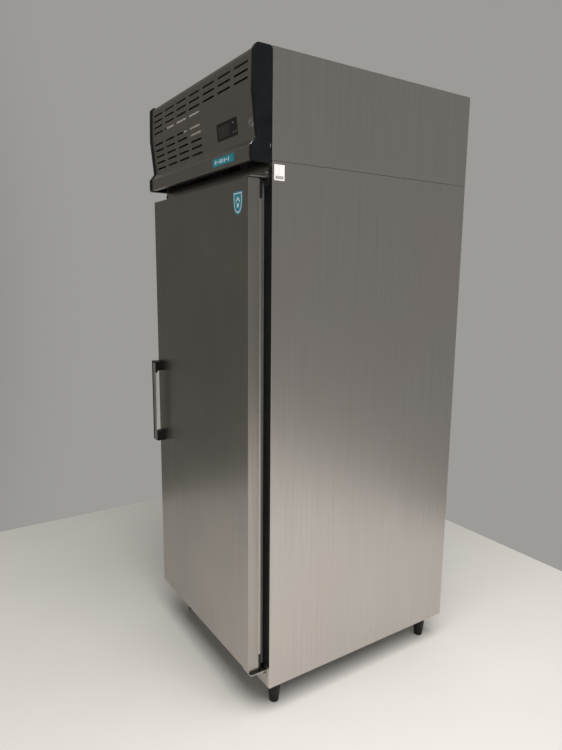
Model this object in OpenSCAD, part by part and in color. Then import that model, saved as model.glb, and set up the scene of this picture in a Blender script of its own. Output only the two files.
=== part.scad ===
// Reach-in refrigerator: one insulated storage compartment with a single door,
// and a machine compartment on top behind a slotted fascia.
// The origin is on the floor, at the centre of the overall footprint.
// +X is to the right seen from the front, +Y points to the back, +Z is up.

/* [Cabinet] */
// Overall width across the side panels
cabinet_w = 710; // [680:1:860]
// Depth of the cabinet behind the plane of its front frame
body_d = 750; // [680:1:900]
// Overall height above the floor
cabinet_h = 1890; // [1650:1:2250]
// Height of the underside above the floor
foot_h = 90; // [80:1:120]
// Height of the machine compartment
unit_h = 275; // [270:1:330]
// Thickness of the side and back walls
wall_t = 60; // [50:1:75]
// Thickness of the floor
floor_t = 85; // [75:1:110]
// Thickness of the roof below the machine compartment
roof_t = 75; // [60:1:95]
// Thickness of the sheet metal
skin_t = 1; // [0.7:0.1:1.5]

/* [Door] */
// Gap between the side of the cabinet and the edge of the door
door_inset = 26.5; // [22:0.5:30]
// Distance from the front frame to the outside of the door
door_out = 57; // [50:1:75]
// Distance from the front frame to the back of the door
door_gap = 14.5; // [12:0.5:18]
// Height of the door's lower edge above the underside of the cabinet
door_lift = 57; // [50:1:62]
// Height of the joint line above the door's upper edge
door_drop = 43; // [38:1:50]
// Distance from the door's hinged edge to the hinge axis
pivot_in = 12.5; // [11:0.5:16]
// Diameter of the hinge pins
pin_d = 8; // [6:0.5:10]

/* [Handle] */
// Height of the handle's middle above the floor
handle_z = 870; // [700:1:1100]
// Length of the handle
handle_h = 292; // [240:1:360]
// Width of the handle
handle_w = 36; // [32:1:50]
// Distance that the handle stands out from the door
handle_out = 33; // [30:1:45]
// Gap between the door's free edge and the handle
handle_inset = 16.5; // [6:0.5:30]
// Height of each end piece of the handle
handle_foot_h = 33; // [28:1:45]
// Width of the steel strip in the handle's front
grip_w = 20; // [16:1:24]

/* [Fascia] */
// Distance from the front frame to the front of the end caps
cap_out = 57.4; // [52:0.1:65]
// Width of each end cap
cap_w = 12; // [10:0.5:18]
// Distance that the fascia sheet lies behind the caps' outline
cap_rim = 3.5; // [3:0.5:8]
// Length of a ventilation slot
slot_w = 73; // [50:1:78]
// Height of a ventilation slot
slot_h = 5.5; // [4:0.5:8]
// Spacing of the slots along a row
slot_pitch_x = 94.6; // [85:0.1:96]
// Spacing of the rows
slot_pitch_z = 19.3; // [16:0.1:20]
// Width of the display window
window_w = 118; // [100:1:130]
// Height of the display window
window_h = 46; // [40:1:52]
// Distance from the cabinet's middle to the middle of the display window
window_x = 195; // [150:1:210]
// Distance from the side of the cabinet to the axis of the lock
lock_in = 28; // [26:1:40]

/* [Inside] */
// Number of shelves
shelf_count = 3; // [3]
// Width of a shelf
shelf_w = 530; // [530]
// Depth of a shelf
shelf_d = 650; // [560:1:650]
// Height of the lowest shelf above the compartment's floor
shelf_first = 245; // [150:1:300]
// Spacing of the shelves
shelf_pitch = 340; // [250:1:360]
// Diameter of a shelf's frame wire
shelf_wire = 6; // [5:0.5:8]
// Height of the air duct below the compartment's ceiling
duct_h = 100; // [90:1:130]

/* [Feet] */
// Distance from each side of the cabinet to a foot's axis
foot_inset = 50; // [40:1:80]
// Diameter of a foot's upper part
foot_d = 40; // [36:1:50]
// Diameter of a foot's base
foot_base_d = 29; // [24:1:34]
// Diameter of the threaded stem
stem_d = 12; // [10:1:16]

/* [Hidden] */
$fn = 48;

// Clearances: between touching sheets of different bodies, and of a running fit.
gap = 0.4;
run_fit = 0.05;

// Heights and half widths that the pieces share.
half_w = cabinet_w / 2;
base_z = foot_h;
seam_z = cabinet_h - unit_h;
open_x = half_w - wall_t;
open_z0 = base_z + floor_t;
open_z1 = seam_z - roof_t;
liner_y1 = body_d - wall_t;
flange_w = 14;
flange_x = half_w - flange_w;

// The door, seen in the frame's own directions.
door_x = half_w - door_inset;
door_z0 = base_z + door_lift;
door_z1 = seam_z - door_drop;
pivot_x = door_x - pivot_in;
pivot_y = -door_gap - 7.5;
shell_y1 = -door_gap - 7.5;
gasket_x = pivot_x + 1;
gasket_w = 20;
gasket_drop = 8.5;
plug_in = 20;
plug_out = 6;
bush_h = 50;
bush_z0 = door_z0 + bush_h;
bush_z1 = door_z1 - bush_h;
bracket_gap = 1.5;
bracket_t = 3;

// The front frame's plane stands here, so that the footprint is centred on the origin.
front_y = (door_out + handle_out - body_d) / 2;

// The fascia's pivot, rear face and the landmarks of its profile below the top.
cap_gap = 2;
fascia_r = 6;
fascia_pivot_y = -cap_gap - fascia_r;
fascia_pivot_z = cabinet_h - fascia_r;
fascia_z0 = seam_z - 6;
bend_z = fascia_z0 + 170;
step_z1 = fascia_z0 + 61;
step_z0 = fascia_z0 + 39;
step_in = 12;
lip_out = 5;
slope_a = atan(step_in / (bend_z - step_z1));
face_y = -cap_out + cap_rim;
sheet_x = half_w - 4.5;
sheet_heel = 3;
window_z = bend_z - 65;
lock_x = half_w - lock_in;
lock_z = bend_z - 72;

// The threaded sockets that hold the feet.
socket_d = stem_d + 14;
socket_h = 30;

// The machines on the deck.
coil_x0 = -half_w + 35;
coil_x1 = coil_x0 + 262;
filter_x = coil_x1 + 38;
compressor_x = 130;
compressor_y = 430;
fan_x = -half_w + 165;
fan_z = seam_z + 135;
fan_y0 = 93;
fan_d = 172;

// The air circulation inside.
duct_z0 = open_z1 - duct_h;
duct_y0 = 150;
duct_y1 = liner_y1 - 1;
blower_y = duct_y0 + 120;
blower_d = 150;
switch_x = -open_x + 90;
switch_z = open_z1 - 9;

post_y = [90, liner_y1 - 90];
post_t = 12;
runner_x1 = open_x - post_t - 0.5;
shelf_y0 = liner_y1 - shelf_d - 10;

// ---------- helpers ----------

module in_place() {
    translate([0, front_y, 0]) children();
}

module block(x0, x1, y0, y1, z0, z1) {
    translate([x0, y0, z0]) cube([x1 - x0, y1 - y0, z1 - z0]);
}

module both_sides() {
    children();
    mirror([1, 0, 0]) children();
}

// A plan drawn in Y and Z, carried from x0 to x1.
module along_x(x0, x1) {
    translate([x0, 0, 0]) rotate([90, 0, 90]) linear_extrude(x1 - x0) children();
}

// A plan drawn in X and Z, carried from y0 to y1.
module along_y(y0, y1) {
    translate([0, y1, 0]) rotate([90, 0, 0]) linear_extrude(y1 - y0) children();
}

module rod_x(x0, x1, y, z, d) {
    translate([x0, y, z]) rotate([0, 90, 0]) cylinder(h = x1 - x0, d = d);
}

module rod_y(x, y0, y1, z, d) {
    translate([x, y1, z]) rotate([90, 0, 0]) cylinder(h = y1 - y0, d = d);
}

module rod_z(x, y, z0, z1, d) {
    translate([x, y, z0]) cylinder(h = z1 - z0, d = d);
}

module rounded_rect(x0, x1, z0, z1, r) {
    translate([x0 + r, z0]) square([x1 - x0 - 2 * r, z1 - z0]);
    translate([x0, z0 + r]) square([x1 - x0, z1 - z0 - 2 * r]);
    for (x = [x0 + r, x1 - r]) for (z = [z0 + r, z1 - r]) translate([x, z]) circle(r);
}

module frame_plan(x1, z0, z1, w) {
    difference() {
        translate([-x1, z0]) square([2 * x1, z1 - z0]);
        translate([-x1 + w, z0 + w]) square([2 * (x1 - w), z1 - z0 - 2 * w]);
    }
}

module slot_plan(x, z, w, h) {
    translate([x - w / 2 + h / 2, z - h / 2]) square([w - h, h]);
    for (side = [-1, 1]) translate([x + side * (w - h) / 2, z]) circle(h / 2, $fn = 24);
}

function arc(cy, cz, r, a0, a1, n) =
    [for (i = [0:n]) let(a = a0 + (a1 - a0) * i / n) [cy + r * cos(a), cz + r * sin(a)]];

// A tube along points, with round corners.
module pipe(points, d) {
    for (i = [0:len(points) - 2]) {
        run = points[i + 1] - points[i];
        length = norm(run);
        translate(points[i])
            rotate([0, acos(run[2] / length), atan2(run[1], run[0])])
                cylinder(h = length, d = d, $fn = 24);
    }
    for (i = [1:len(points) - 2]) translate(points[i]) sphere(d = d, $fn = 24);
}

// ---------- lower cabinet ----------

module side_panel(rear_x0) {
    block(-half_w, -half_w + skin_t, 0, body_d, base_z, seam_z);
    block(-half_w, -flange_x, 0, skin_t, base_z, seam_z);
    block(-half_w, rear_x0, body_d - skin_t, body_d, base_z, seam_z);
}

module side_panel_left() {
    color("lightgray") in_place() side_panel(-half_w + 20);
}

module side_panel_right() {
    color("lightgray") in_place() mirror([1, 0, 0]) side_panel(-half_w + 20);
}

module back_panel() {
    x1 = half_w - 20 - 0.5;
    color("silver") in_place()
        block(-x1, x1, body_d - skin_t, body_d, base_z + skin_t, seam_z - skin_t);
}

function foot_xy() = [for (y = [foot_inset, body_d - 57]) for (x = [-1, 1]) [x * (half_w - foot_inset), y]];

module foot_holes(d, z0, z1) {
    for (p = foot_xy()) rod_z(p[0], p[1], z0, z1, d);
}

// Room in the foam for the threaded sockets and for a stem that is screwed all the way in.
module socket_room() {
    foot_holes(socket_d + 1, base_z, base_z + socket_h + 30);
}

module base_panel() {
    x1 = half_w - skin_t;
    color("silver") in_place() difference() {
        union() {
            block(-x1, x1, skin_t, body_d - skin_t, base_z, base_z + skin_t);
            foot_holes(socket_d, base_z, base_z + socket_h);
        }
        foot_holes(stem_d + 2 * run_fit, base_z - 1, base_z + socket_h + 1);
    }
}

module deck_panel() {
    x1 = half_w - skin_t;
    color("lightgray") in_place() difference() {
        union() {
            block(-x1, x1, skin_t, body_d - skin_t, seam_z - skin_t, seam_z);
            block(-flange_x, flange_x, 0, skin_t, open_z1 + 15.3, seam_z);
        }
        rod_z(40, 500, seam_z - 5, seam_z + 5, 40);
    }
}

module threshold() {
    color("lightgray") in_place() {
        block(-flange_x, flange_x, 0, skin_t, base_z, open_z0 - 15.3);
        block(-open_x, open_x, skin_t, 20, open_z0 - 16.3, open_z0 - 15.3);
    }
}

module breaker_frame() {
    x1 = flange_x - 0.3;
    color("#15171a") in_place() {
        along_y(0, 6) difference() {
            translate([-x1, open_z0 - 15]) square([2 * x1, open_z1 - open_z0 + 30]);
            rounded_rect(-open_x, open_x, open_z0, open_z1, 12);
        }
    }
}

module side_insulation() {
    color("khaki") in_place() difference() {
        both_sides()
            block(open_x + skin_t, half_w - skin_t, 6.3, body_d - skin_t, base_z + skin_t,
                seam_z - skin_t);
        socket_room();
    }
}

module back_insulation() {
    x1 = open_x + skin_t;
    color("khaki") in_place()
        block(-x1, x1, liner_y1 + skin_t, body_d - skin_t, open_z0 - skin_t, open_z1 + skin_t);
}

module deck_insulation() {
    x1 = open_x + skin_t;
    color("khaki") in_place() {
        difference() {
            block(-x1, x1, 20.3, body_d - skin_t, base_z + skin_t, open_z0 - skin_t);
            socket_room();
        }
        difference() {
            block(-x1, x1, 6.3, body_d - skin_t, open_z1 + skin_t, seam_z - skin_t);
            rod_z(40, 500, open_z1 - 5, seam_z + 5, 40);
        }
    }
}

module inner_liner() {
    x1 = open_x + skin_t;
    color("lightgray") in_place() difference() {
        along_y(6.2, liner_y1 + skin_t)
            rounded_rect(-x1, x1, open_z0 - skin_t, open_z1 + skin_t, 12 + skin_t);
        along_y(0, liner_y1) rounded_rect(-open_x, open_x, open_z0, open_z1, 12);
        rod_z(40, 500, open_z1 - 5, open_z1 + 5, 40);
    }
}

// ---------- machine compartment ----------

module upper_panel() {
    z0 = seam_z + 1;
    z1 = cabinet_h - skin_t;
    block(-half_w, -half_w + skin_t, 0, body_d, z0, cabinet_h);
    block(-half_w, -flange_x, 0, skin_t, z0, z1);
    block(-half_w, -half_w + 20, body_d - skin_t, body_d, z0, z1);
    block(-half_w, -flange_x, skin_t, body_d - skin_t, z0, z0 + skin_t);
}

module upper_panel_left() {
    color("lightgray") in_place() upper_panel();
}

module upper_panel_right() {
    color("lightgray") in_place() mirror([1, 0, 0]) upper_panel();
}

module upper_back_panel() {
    x1 = half_w - skin_t;
    y0 = body_d - 22;
    vent_rows = 8;
    vent_columns = 5;
    color("silver") in_place() difference() {
        block(-x1, x1, y0, y0 + skin_t, seam_z + 2.2, cabinet_h - skin_t);
        along_y(y0 - 5, y0 + 5)
            for (row = [0:vent_rows - 1]) for (column = [0:vent_columns - 1])
                slot_plan(-half_w + 130 + 90 * column, seam_z + 80 + 20 * row, 70, 6);
        rod_y(half_w - 75, y0 - 5, y0 + 5, seam_z + 45, 16);
    }
}

module top_cover() {
    x1 = half_w - skin_t - 0.2;
    color("silver") in_place() {
        block(-x1, x1, 0, body_d - skin_t, cabinet_h - skin_t, cabinet_h);
        block(-flange_x + 6, flange_x - 6, 0, skin_t, cabinet_h - 14, cabinet_h - skin_t);
    }
}

module fascia_brackets() {
    color("silver") in_place() both_sides() {
        x0 = flange_x - 4;
        block(x0, x0 + 3, 6, 44, fascia_pivot_z - 26, fascia_pivot_z + 2.2);
        block(x0, x0 + 3, fascia_pivot_y, 6, fascia_pivot_z - 5, fascia_pivot_z + 2.2);
        rod_x(x0, x0 + 3, fascia_pivot_y, fascia_pivot_z, 9);
        rod_x(x0 + 3, x0 + 11, fascia_pivot_y, fascia_pivot_z, 5);
        block(x0, half_w - skin_t, 30, 44, fascia_pivot_z - 26, fascia_pivot_z - 23);
    }
}

module compressor() {
    x = compressor_x;
    y = compressor_y;
    z = seam_z + 24;
    color("#1c1d1f") in_place() {
        translate([x, y, z]) rotate_extrude($fn = 64)
            polygon(concat([[0, 0]], arc(50, 20, 20, -90, 0, 6), [[74, 26], [74, 34], [70, 40]],
                arc(30, 130, 40, 0, 90, 8), [[0, 170]]));
        block(x - 95, x + 95, y - 62, y + 62, z - 4, z - 0.5);
        for (sx = [-80, 80]) for (sy = [-50, 50]) rod_z(x + sx, y + sy, seam_z + 0.1, z - 4, 26);
        block(x + 62, x + 104, y - 30, y + 30, z + 45, z + 105);
    }
}

module condenser() {
    x0 = coil_x0;
    x1 = coil_x1;
    y0 = 34;
    y1 = 88;
    z0 = seam_z + 20;
    z1 = z0 + 220;
    tube_rows = 8;
    pitch = (z1 - z0) / tube_rows;
    color("silver") in_place() {
        block(x0 + 4, x1 - 4, y0, y1, z0, z1);
        for (x = [x0, x1 - 1.5]) block(x, x + 1.5, y0 - 4, y1 + 4, z0 - 19.8, z1 + 4);
        for (row = [0:tube_rows - 1]) for (y = [y0 + 14, y1 - 14])
            rod_x(x0 - 8, x1 + 8, y, z0 + pitch * (row + 0.5), 8);
        for (row = [0:2:tube_rows - 2]) for (x = [x0 - 8, x1 + 8])
            rod_z(x, y0 + 14, z0 + pitch * (row + 0.5), z0 + pitch * (row + 1.5), 8);
    }
}

module fan_shroud() {
    y0 = fan_y0;
    color("#24262a") in_place() {
        difference() {
            block(fan_x - 120, fan_x + 120, y0, y0 + 2, seam_z + 0.1, seam_z + 250);
            rod_y(fan_x, y0 - 5, y0 + 5, fan_z, fan_d + 10);
        }
        difference() {
            rod_y(fan_x, y0 + 2, y0 + 34, fan_z, fan_d + 18);
            rod_y(fan_x, y0, y0 + 36, fan_z, fan_d + 10);
        }
        rod_y(fan_x, y0 + 42, y0 + 112, fan_z, 84);
        rod_y(fan_x, y0 + 10, y0 + 42, fan_z, 8);
        block(fan_x - 30, fan_x + 30, y0 + 60, y0 + 100, seam_z + 0.1, fan_z - 30);
    }
}

module fan_blades(d, depth, count) {
    blade_pitch = 28;
    for (i = [0:count - 1]) rotate([0, 0, 360 / count * i]) intersection() {
        translate([0, 0, depth / 2]) rotate([blade_pitch, 0, 0])
            translate([14, -d * 0.16, -0.7]) cube([d, d * 0.32, 1.4]);
        cylinder(h = depth, d = d);
        translate([0, -d / 4, 0]) cube([d, d / 2, depth]);
    }
    difference() {
        cylinder(h = depth, d = 40);
        translate([0, 0, -1]) cylinder(h = depth + 2, d = 8 + 2 * run_fit);
    }
}

module condenser_fan() {
    color("#3b3e42") in_place() translate([fan_x, fan_y0 + 33, fan_z]) rotate([90, 0, 0])
        fan_blades(fan_d, 28, 5);
}

module refrigerant_lines() {
    top_x = compressor_x - 40;
    header_x = coil_x1 + 8;
    return_y = 500;
    deck_z = open_z1 - 13.5;
    color("#b87333") in_place() {
        pipe([[top_x, compressor_y, seam_z + 195], [top_x, compressor_y, seam_z + 215],
            [header_x + 6, compressor_y, seam_z + 215], [header_x + 6, 60, seam_z + 215]], 8);
        pipe([[header_x, 74, seam_z + 34], [filter_x, 74, seam_z + 34],
            [filter_x, 196, seam_z + 34], [filter_x, 196, seam_z + 90]], 6);
        pipe([[filter_x, 196, seam_z + 196], [filter_x, 196, seam_z + 230],
            [filter_x, return_y, seam_z + 230], [32, return_y, seam_z + 230],
            [32, return_y, deck_z]], 5);
        pipe([[top_x, compressor_y + 40, seam_z + 188.2], [top_x, compressor_y + 40, seam_z + 202],
            [top_x, return_y, seam_z + 202], [50, return_y, seam_z + 202],
            [50, return_y, deck_z]], 10);
        translate([filter_x, 196, seam_z + 90]) rotate_extrude($fn = 32)
            polygon([[0, 0], [4, 0], [5, 8], [11, 18], [11, 88], [5, 98], [4, 106], [0, 106]]);
    }
}

module electrical_box() {
    x0 = 110;
    x1 = half_w - 60;
    color("#4a4d50") in_place() {
        block(x0, x1, 70, 170, seam_z + 0.1, seam_z + 100);
        block(x0 + 2, x1 - 2, 68, 70, seam_z + 4, seam_z + 98);
        for (x = [x0 + 14, x1 - 14]) rod_y(x, 66, 68, seam_z + 86, 9);
    }
}

module cable_gland() {
    x = half_w - 75;
    y0 = body_d - 22;
    z = seam_z + 45;
    color("#202226") in_place() difference() {
        union() {
            rod_y(x, y0 - 14, y0 + 2, z, 15.8);
            translate([x, y0 + 7, z]) rotate([90, 0, 0]) cylinder(h = 5.8, d = 26, $fn = 6);
            translate([x, y0 - 0.2, z]) rotate([90, 0, 0]) cylinder(h = 5, d = 24, $fn = 6);
            rod_y(x, y0 + 7, y0 + 18, z, 20);
        }
        rod_y(x, y0 - 15, y0 + 19, z, 9);
    }
}

// ---------- air circulation, light and shelving ----------

module evaporator() {
    color("silver") in_place() {
        block(-200, 200, 470, 600, duct_z0 + 26, open_z1 - 14);
        for (x = [-204, 202.5]) block(x, x + 1.5, 466, 604, duct_z0 + 22, open_z1 - 0.2);
    }
}

module drip_tray() {
    z0 = duct_z0 + 6;
    color("#d8d9da") in_place() {
        difference() {
            block(-230, 230, 450, 640, z0, z0 + 14);
            block(-228.5, 228.5, 451.5, 638.5, z0 + 1.5, z0 + 15);
        }
        rod_y(0, 640, duct_y1 - 0.5, z0 + 7, 13);
    }
}

module evaporator_cover() {
    x1 = open_x - 22;
    guard_r = blower_d / 2;
    color("lightgray") in_place() {
        difference() {
            block(-x1, x1, duct_y0, duct_y1, duct_z0, open_z1 - 0.3);
            block(-x1 + 1.2, x1 - 1.2, duct_y0 + 1.2, duct_y1 + 1, duct_z0 + 1.2, open_z1);
            rod_z(0, blower_y, duct_z0 - 5, duct_z0 + 5, blower_d + 10);
            along_y(duct_y0 - 5, duct_y0 + 5)
                for (row = [0:3]) for (column = [-2:2])
                    slot_plan(column * 96, duct_z0 + 26 + 17 * row, 78, 8);
        }
        translate([0, blower_y, duct_z0]) {
            for (r = [20:17:guard_r]) difference() {
                cylinder(h = 1.2, r = r + 1.2);
                translate([0, 0, -1]) cylinder(h = 4, r = r - 1.2);
            }
            for (a = [0:60:120]) rotate([0, 0, a])
                block(-guard_r - 5.5, guard_r + 5.5, -1.2, 1.2, 0, 1.2);
        }
    }
}

module evaporator_fan_motor() {
    z0 = duct_z0 + 46;
    color("#24262a") in_place() {
        rod_z(0, blower_y, duct_z0 + 16, z0, 8);
        rod_z(0, blower_y, z0, z0 + 40, 62);
        block(-90, 90, blower_y - 12, blower_y + 12, z0 + 40, z0 + 42);
        for (x = [-90, 88]) block(x, x + 2, blower_y - 12, blower_y + 12, z0 + 40, open_z1 - 0.3);
    }
}

module evaporator_fan() {
    color("#3b3e42") in_place() translate([0, blower_y, duct_z0 + 14]) {
        fan_blades(blower_d, 24, 5);
    }
}

module cabinet_lamp() {
    color("#f4f4ec") in_place() along_y(60, 96) translate([0, open_z1 - 0.2])
        polygon([[-110, 0], [-104, -12], [104, -12], [110, 0]]);
}

module light_switch() {
    color("#e4e4e0") in_place() difference() {
        block(switch_x - 12, switch_x + 12, 8, 40, switch_z - 8.5, open_z1 - 0.2);
        rod_y(switch_x, 0, 30, switch_z, 6 + 2 * run_fit);
    }
}

module switch_plunger() {
    color("#f4f4f0") in_place() rod_y(switch_x, -door_gap + 0.6, 22, switch_z, 6);
}

module uprights() {
    color("lightgray") in_place() both_sides() for (y = post_y) difference() {
        block(open_x - post_t, open_x - 0.3, y - 12, y + 12, open_z0 + 20, duct_z0 - 20);
        block(open_x - post_t + 1.2, open_x, y - 10.8, y + 10.8, open_z0 + 19, duct_z0 - 19);
    }
}

function shelf_z(i) = open_z0 + shelf_first + i * shelf_pitch;

module shelf_runners() {
    lip = runner_x1 - shelf_w / 2 + 9;
    color("lightgray") in_place() both_sides() for (i = [0:shelf_count - 1]) {
        z = shelf_z(i);
        block(runner_x1 - lip, runner_x1, shelf_y0, liner_y1 - 6, z - 1.2, z);
        block(runner_x1 - 1.2, runner_x1, shelf_y0, liner_y1 - 6, z, z + 20);
        block(runner_x1 - 8, runner_x1 - 1.2, shelf_y0, liner_y1 - 6, z + 18.8, z + 20);
    }
}

module shelf(i) {
    bar_count = 3;
    wire_count = 22;
    wire_d = 3;
    x1 = shelf_w / 2 - shelf_wire / 2;
    y0 = shelf_y0 + 4 + shelf_wire / 2;
    y1 = y0 + shelf_d - shelf_wire;
    z = shelf_z(i) + gap + shelf_wire / 2;
    wire_pitch = 2 * x1 / (wire_count + 1);
    in_place() {
        for (x = [-x1, x1]) rod_y(x, y0 - shelf_wire / 2, y1 + shelf_wire / 2, z, shelf_wire);
        for (k = [0:bar_count + 1])
            rod_x(-x1, x1, y0 + (y1 - y0) * k / (bar_count + 1), z, shelf_wire - 0.5);
        for (k = [1:wire_count])
            rod_y(-x1 + wire_pitch * k, y0 - 1, y1 + 1, z + shelf_wire / 2 + wire_d / 2 - 0.6, wire_d);
    }
}

module shelf_lower() {
    color("#c9ccce") shelf(0);
}

module shelf_middle() {
    color("#c9ccce") shelf(1);
}

module shelf_upper() {
    color("#c9ccce") shelf(2);
}

// ---------- door ----------

module door_plan(inset) {
    translate([-door_x + inset, door_z0 + inset])
        square([2 * (door_x - inset), door_z1 - door_z0 - 2 * inset]);
}

// Room for the hinge corner pieces at both ends of the hinged edge.
module bush_room(grow) {
    for (z = [[door_z0 - 1, bush_z0 + grow], [bush_z1 - grow, door_z1 + 1]]) {
        block(door_x - 40 - grow, door_x + 1, shell_y1 - grow, -door_gap + 1, z[0], z[1]);
        rod_z(pivot_x, pivot_y, z[0], z[1], 2 * pivot_in - 2 * skin_t + 2 * grow);
    }
}

module door_shell() {
    color("#8d8a85") in_place() difference() {
        along_y(-door_out, shell_y1) door_plan(0);
        along_y(-door_out + skin_t, shell_y1 + 1) door_plan(skin_t);
        for (z = [door_z0, door_z1])
            rod_z(pivot_x, pivot_y, z - 5, z + 5, 2 * pivot_in - 2 * skin_t + 0.4);
    }
}

module door_foam() {
    plug_x = open_x - plug_in - 1.2;
    color("khaki") in_place() difference() {
        union() {
            along_y(-door_out + skin_t, -door_gap - 1.2) door_plan(1.4);
            along_y(-door_gap - 1.2, plug_out - 1.2)
                rounded_rect(-plug_x, plug_x, open_z0 + plug_in + 1.2,
                    open_z1 - plug_in - 1.2, 18.8);
        }
        bush_room(0.2);
    }
}

module door_liner() {
    plug_x = open_x - plug_in;
    rim_y0 = shell_y1 + 1.5;
    color("lightgray") in_place() difference() {
        union() {
            along_y(rim_y0, -door_gap) door_plan(0.4);
            along_y(-door_gap, plug_out)
                rounded_rect(-plug_x, plug_x, open_z0 + plug_in, open_z1 - plug_in, 20);
        }
        along_y(rim_y0 - 1, -door_gap - 1.2) door_plan(1.4);
        along_y(rim_y0 - 1, plug_out - 1.2)
            rounded_rect(-plug_x + 1.2, plug_x - 1.2, open_z0 + plug_in + 1.2,
                open_z1 - plug_in - 1.2, 18.8);
        bush_room(0.2);
    }
}

module door_gasket() {
    z0 = door_z0 + gasket_drop;
    z1 = door_z1 - gasket_drop;
    color("#4c4f52") in_place() {
        along_y(-door_gap, -9) frame_plan(gasket_x, z0, z1, gasket_w);
        along_y(-9, -4) difference() {
            translate([-gasket_x + 3, z0 + 3]) square([2 * gasket_x - 6, z1 - z0 - 6]);
            translate([-gasket_x + gasket_w - 3, z0 + gasket_w - 3])
                square([2 * (gasket_x - gasket_w + 3), z1 - z0 - 2 * gasket_w + 6]);
        }
        along_y(-4, -gap) frame_plan(gasket_x, z0, z1, gasket_w - 2);
    }
}

module hinge_bushes() {
    color("#15171a") in_place() for (z = [[door_z0, bush_z0], [bush_z1, door_z1]]) difference() {
        union() {
            block(door_x - 40, door_x, shell_y1 + 0.2, -door_gap, z[0], z[1]);
            rod_z(pivot_x, pivot_y, z[0], z[1], 2 * pivot_in - 2 * skin_t - 0.6);
        }
        block(door_x - 50, door_x, -door_gap, 0, z[0] - 1, z[1] + 1);
        rod_z(pivot_x, pivot_y, z[0] - 1, z[1] + 1, pin_d + 2 * run_fit);
    }
}

module hinge_bracket() {
    x1 = flange_x - 0.5;
    z0 = door_z1 + bracket_gap;
    plate_r = 14;
    block(pivot_x - plate_r, x1, -bracket_t, -0.2, z0, z0 + 24);
    block(pivot_x - plate_r, pivot_x + plate_r - 2, pivot_y, -0.2, z0, z0 + bracket_t);
    rod_z(pivot_x, pivot_y, z0, z0 + bracket_t, 2 * pivot_in - 2);
    rod_z(pivot_x, pivot_y, z0 - 24, z0 + bracket_t, pin_d);
    for (x = [pivot_x - 4, x1 - 7]) rod_y(x, -bracket_t - 2.5, -bracket_t, z0 + 15, 9);
}

module hinge_bracket_top() {
    color("silver") in_place() hinge_bracket();
}

module hinge_bracket_bottom() {
    color("silver") in_place() translate([0, 0, door_z0 + door_z1]) mirror([0, 0, 1])
        hinge_bracket();
}

// ---------- handle, in its own directions: u across the door, w out from it ----------

handle_x0 = -door_x + handle_inset;
bar_t = 6.5;
crown = 0.8;
grip_t = 1.5;
grip_u1 = handle_w - 3;

// The front's height above the door, a little lower towards the middle of the door.
function front_w(u) = handle_out - crown * (u - 4) / (handle_w - 6.5);

module handle_extrude(z0, z1) {
    translate([handle_x0, -door_out, z0]) mirror([0, 1, 0]) linear_extrude(z1 - z0) children();
}

module handle_plan() {
    edge = front_w(handle_w - 2.5);
    polygon(concat([[0, 0]], arc(4, handle_out - 4, 4, 180, 90, 5),
        [[handle_w - 2.5, edge], [handle_w - 0.8, edge - 0.7], [handle_w, edge - 2.2],
            [handle_w, 0]]));
}

// The gap for the fingers, with round corners where the end pieces join the bar.
module finger_gap() {
    half = handle_h / 2 - handle_foot_h;
    r = 8;
    depth = handle_out - bar_t;
    along_x(handle_x0 - 1, handle_x0 + handle_w + 1) {
        translate([-door_out - depth + r, handle_z - half]) square([depth - r + 1, 2 * half]);
        translate([-door_out - depth, handle_z - half + r]) square([r + 1, 2 * (half - r)]);
        for (z = [handle_z - half + r, handle_z + half - r])
            translate([-door_out - depth + r, z]) circle(r);
    }
}

// The bar's back edges are cut away, so that it looks thin from the side.
module bar_backs() {
    half = handle_h / 2 - handle_foot_h - 8;
    w = handle_out - bar_t;
    handle_extrude(handle_z - half, handle_z + half) {
        polygon([[handle_w - 8, w - 1], [handle_w + 1, w - 1], [handle_w + 1, handle_out - 3.4],
            [handle_w - 0.6, handle_out - 3.4]]);
        polygon([[9, w - 1], [-1, w - 1], [-1, handle_out - 4.6], [0.6, handle_out - 4.6]]);
    }
}

module grip_plan(sink) {
    u0 = grip_u1 - grip_w;
    w0 = front_w(u0) + 0.2;
    w1 = front_w(grip_u1) + 0.2;
    polygon([[u0 + sink, w0], [u0 + sink, w0 - grip_t], [grip_u1 - sink, w1 - grip_t],
        [grip_u1 - sink, w1]]);
}

module handle_frame() {
    z0 = handle_z - handle_h / 2;
    z1 = handle_z + handle_h / 2;
    r = 4;
    color("#101214") in_place() difference() {
        intersection() {
            handle_extrude(z0, z1) handle_plan();
            along_x(handle_x0 - 1, handle_x0 + handle_w + 1) {
                translate([-door_out - handle_out + r, z0]) square([handle_out - r + 1, z1 - z0]);
                translate([-door_out - handle_out - 1, z0 + r]) square([r + 2, z1 - z0 - 2 * r]);
                for (z = [z0 + r, z1 - r]) translate([-door_out - handle_out + r, z]) circle(r);
            }
        }
        finger_gap();
        bar_backs();
        handle_extrude(z0 + 5, z1 - 5) grip_plan(0);
    }
}

module handle_grip() {
    z0 = handle_z - handle_h / 2;
    z1 = handle_z + handle_h / 2;
    color("#a9a49c") in_place() handle_extrude(z0 + 5.1, z1 - 5.1) grip_plan(0.1);
}

// ---------- fascia ----------

// The outline in Y and Z, drawn a distance in from the end caps' outline.
function fascia_outline(sink, rear_y, heel = 8) = let(
    top = cabinet_h - sink,
    front = -cap_out + sink,
    notch = front + step_in,
    lip = front - lip_out,
    bottom = fascia_z0 + sink,
    nose = 16) concat(
    [[rear_y, bottom], [rear_y, top - fascia_r]],
    arc(rear_y - fascia_r, top - fascia_r, fascia_r, 0, 90, 6),
    arc(front + 2 + nose, top - nose, nose, 90, 180, 8),
    [[front, bend_z], [notch, step_z1], [lip, step_z0]],
    arc(lip + heel, bottom + heel, heel, 180, 270, 5));

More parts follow.
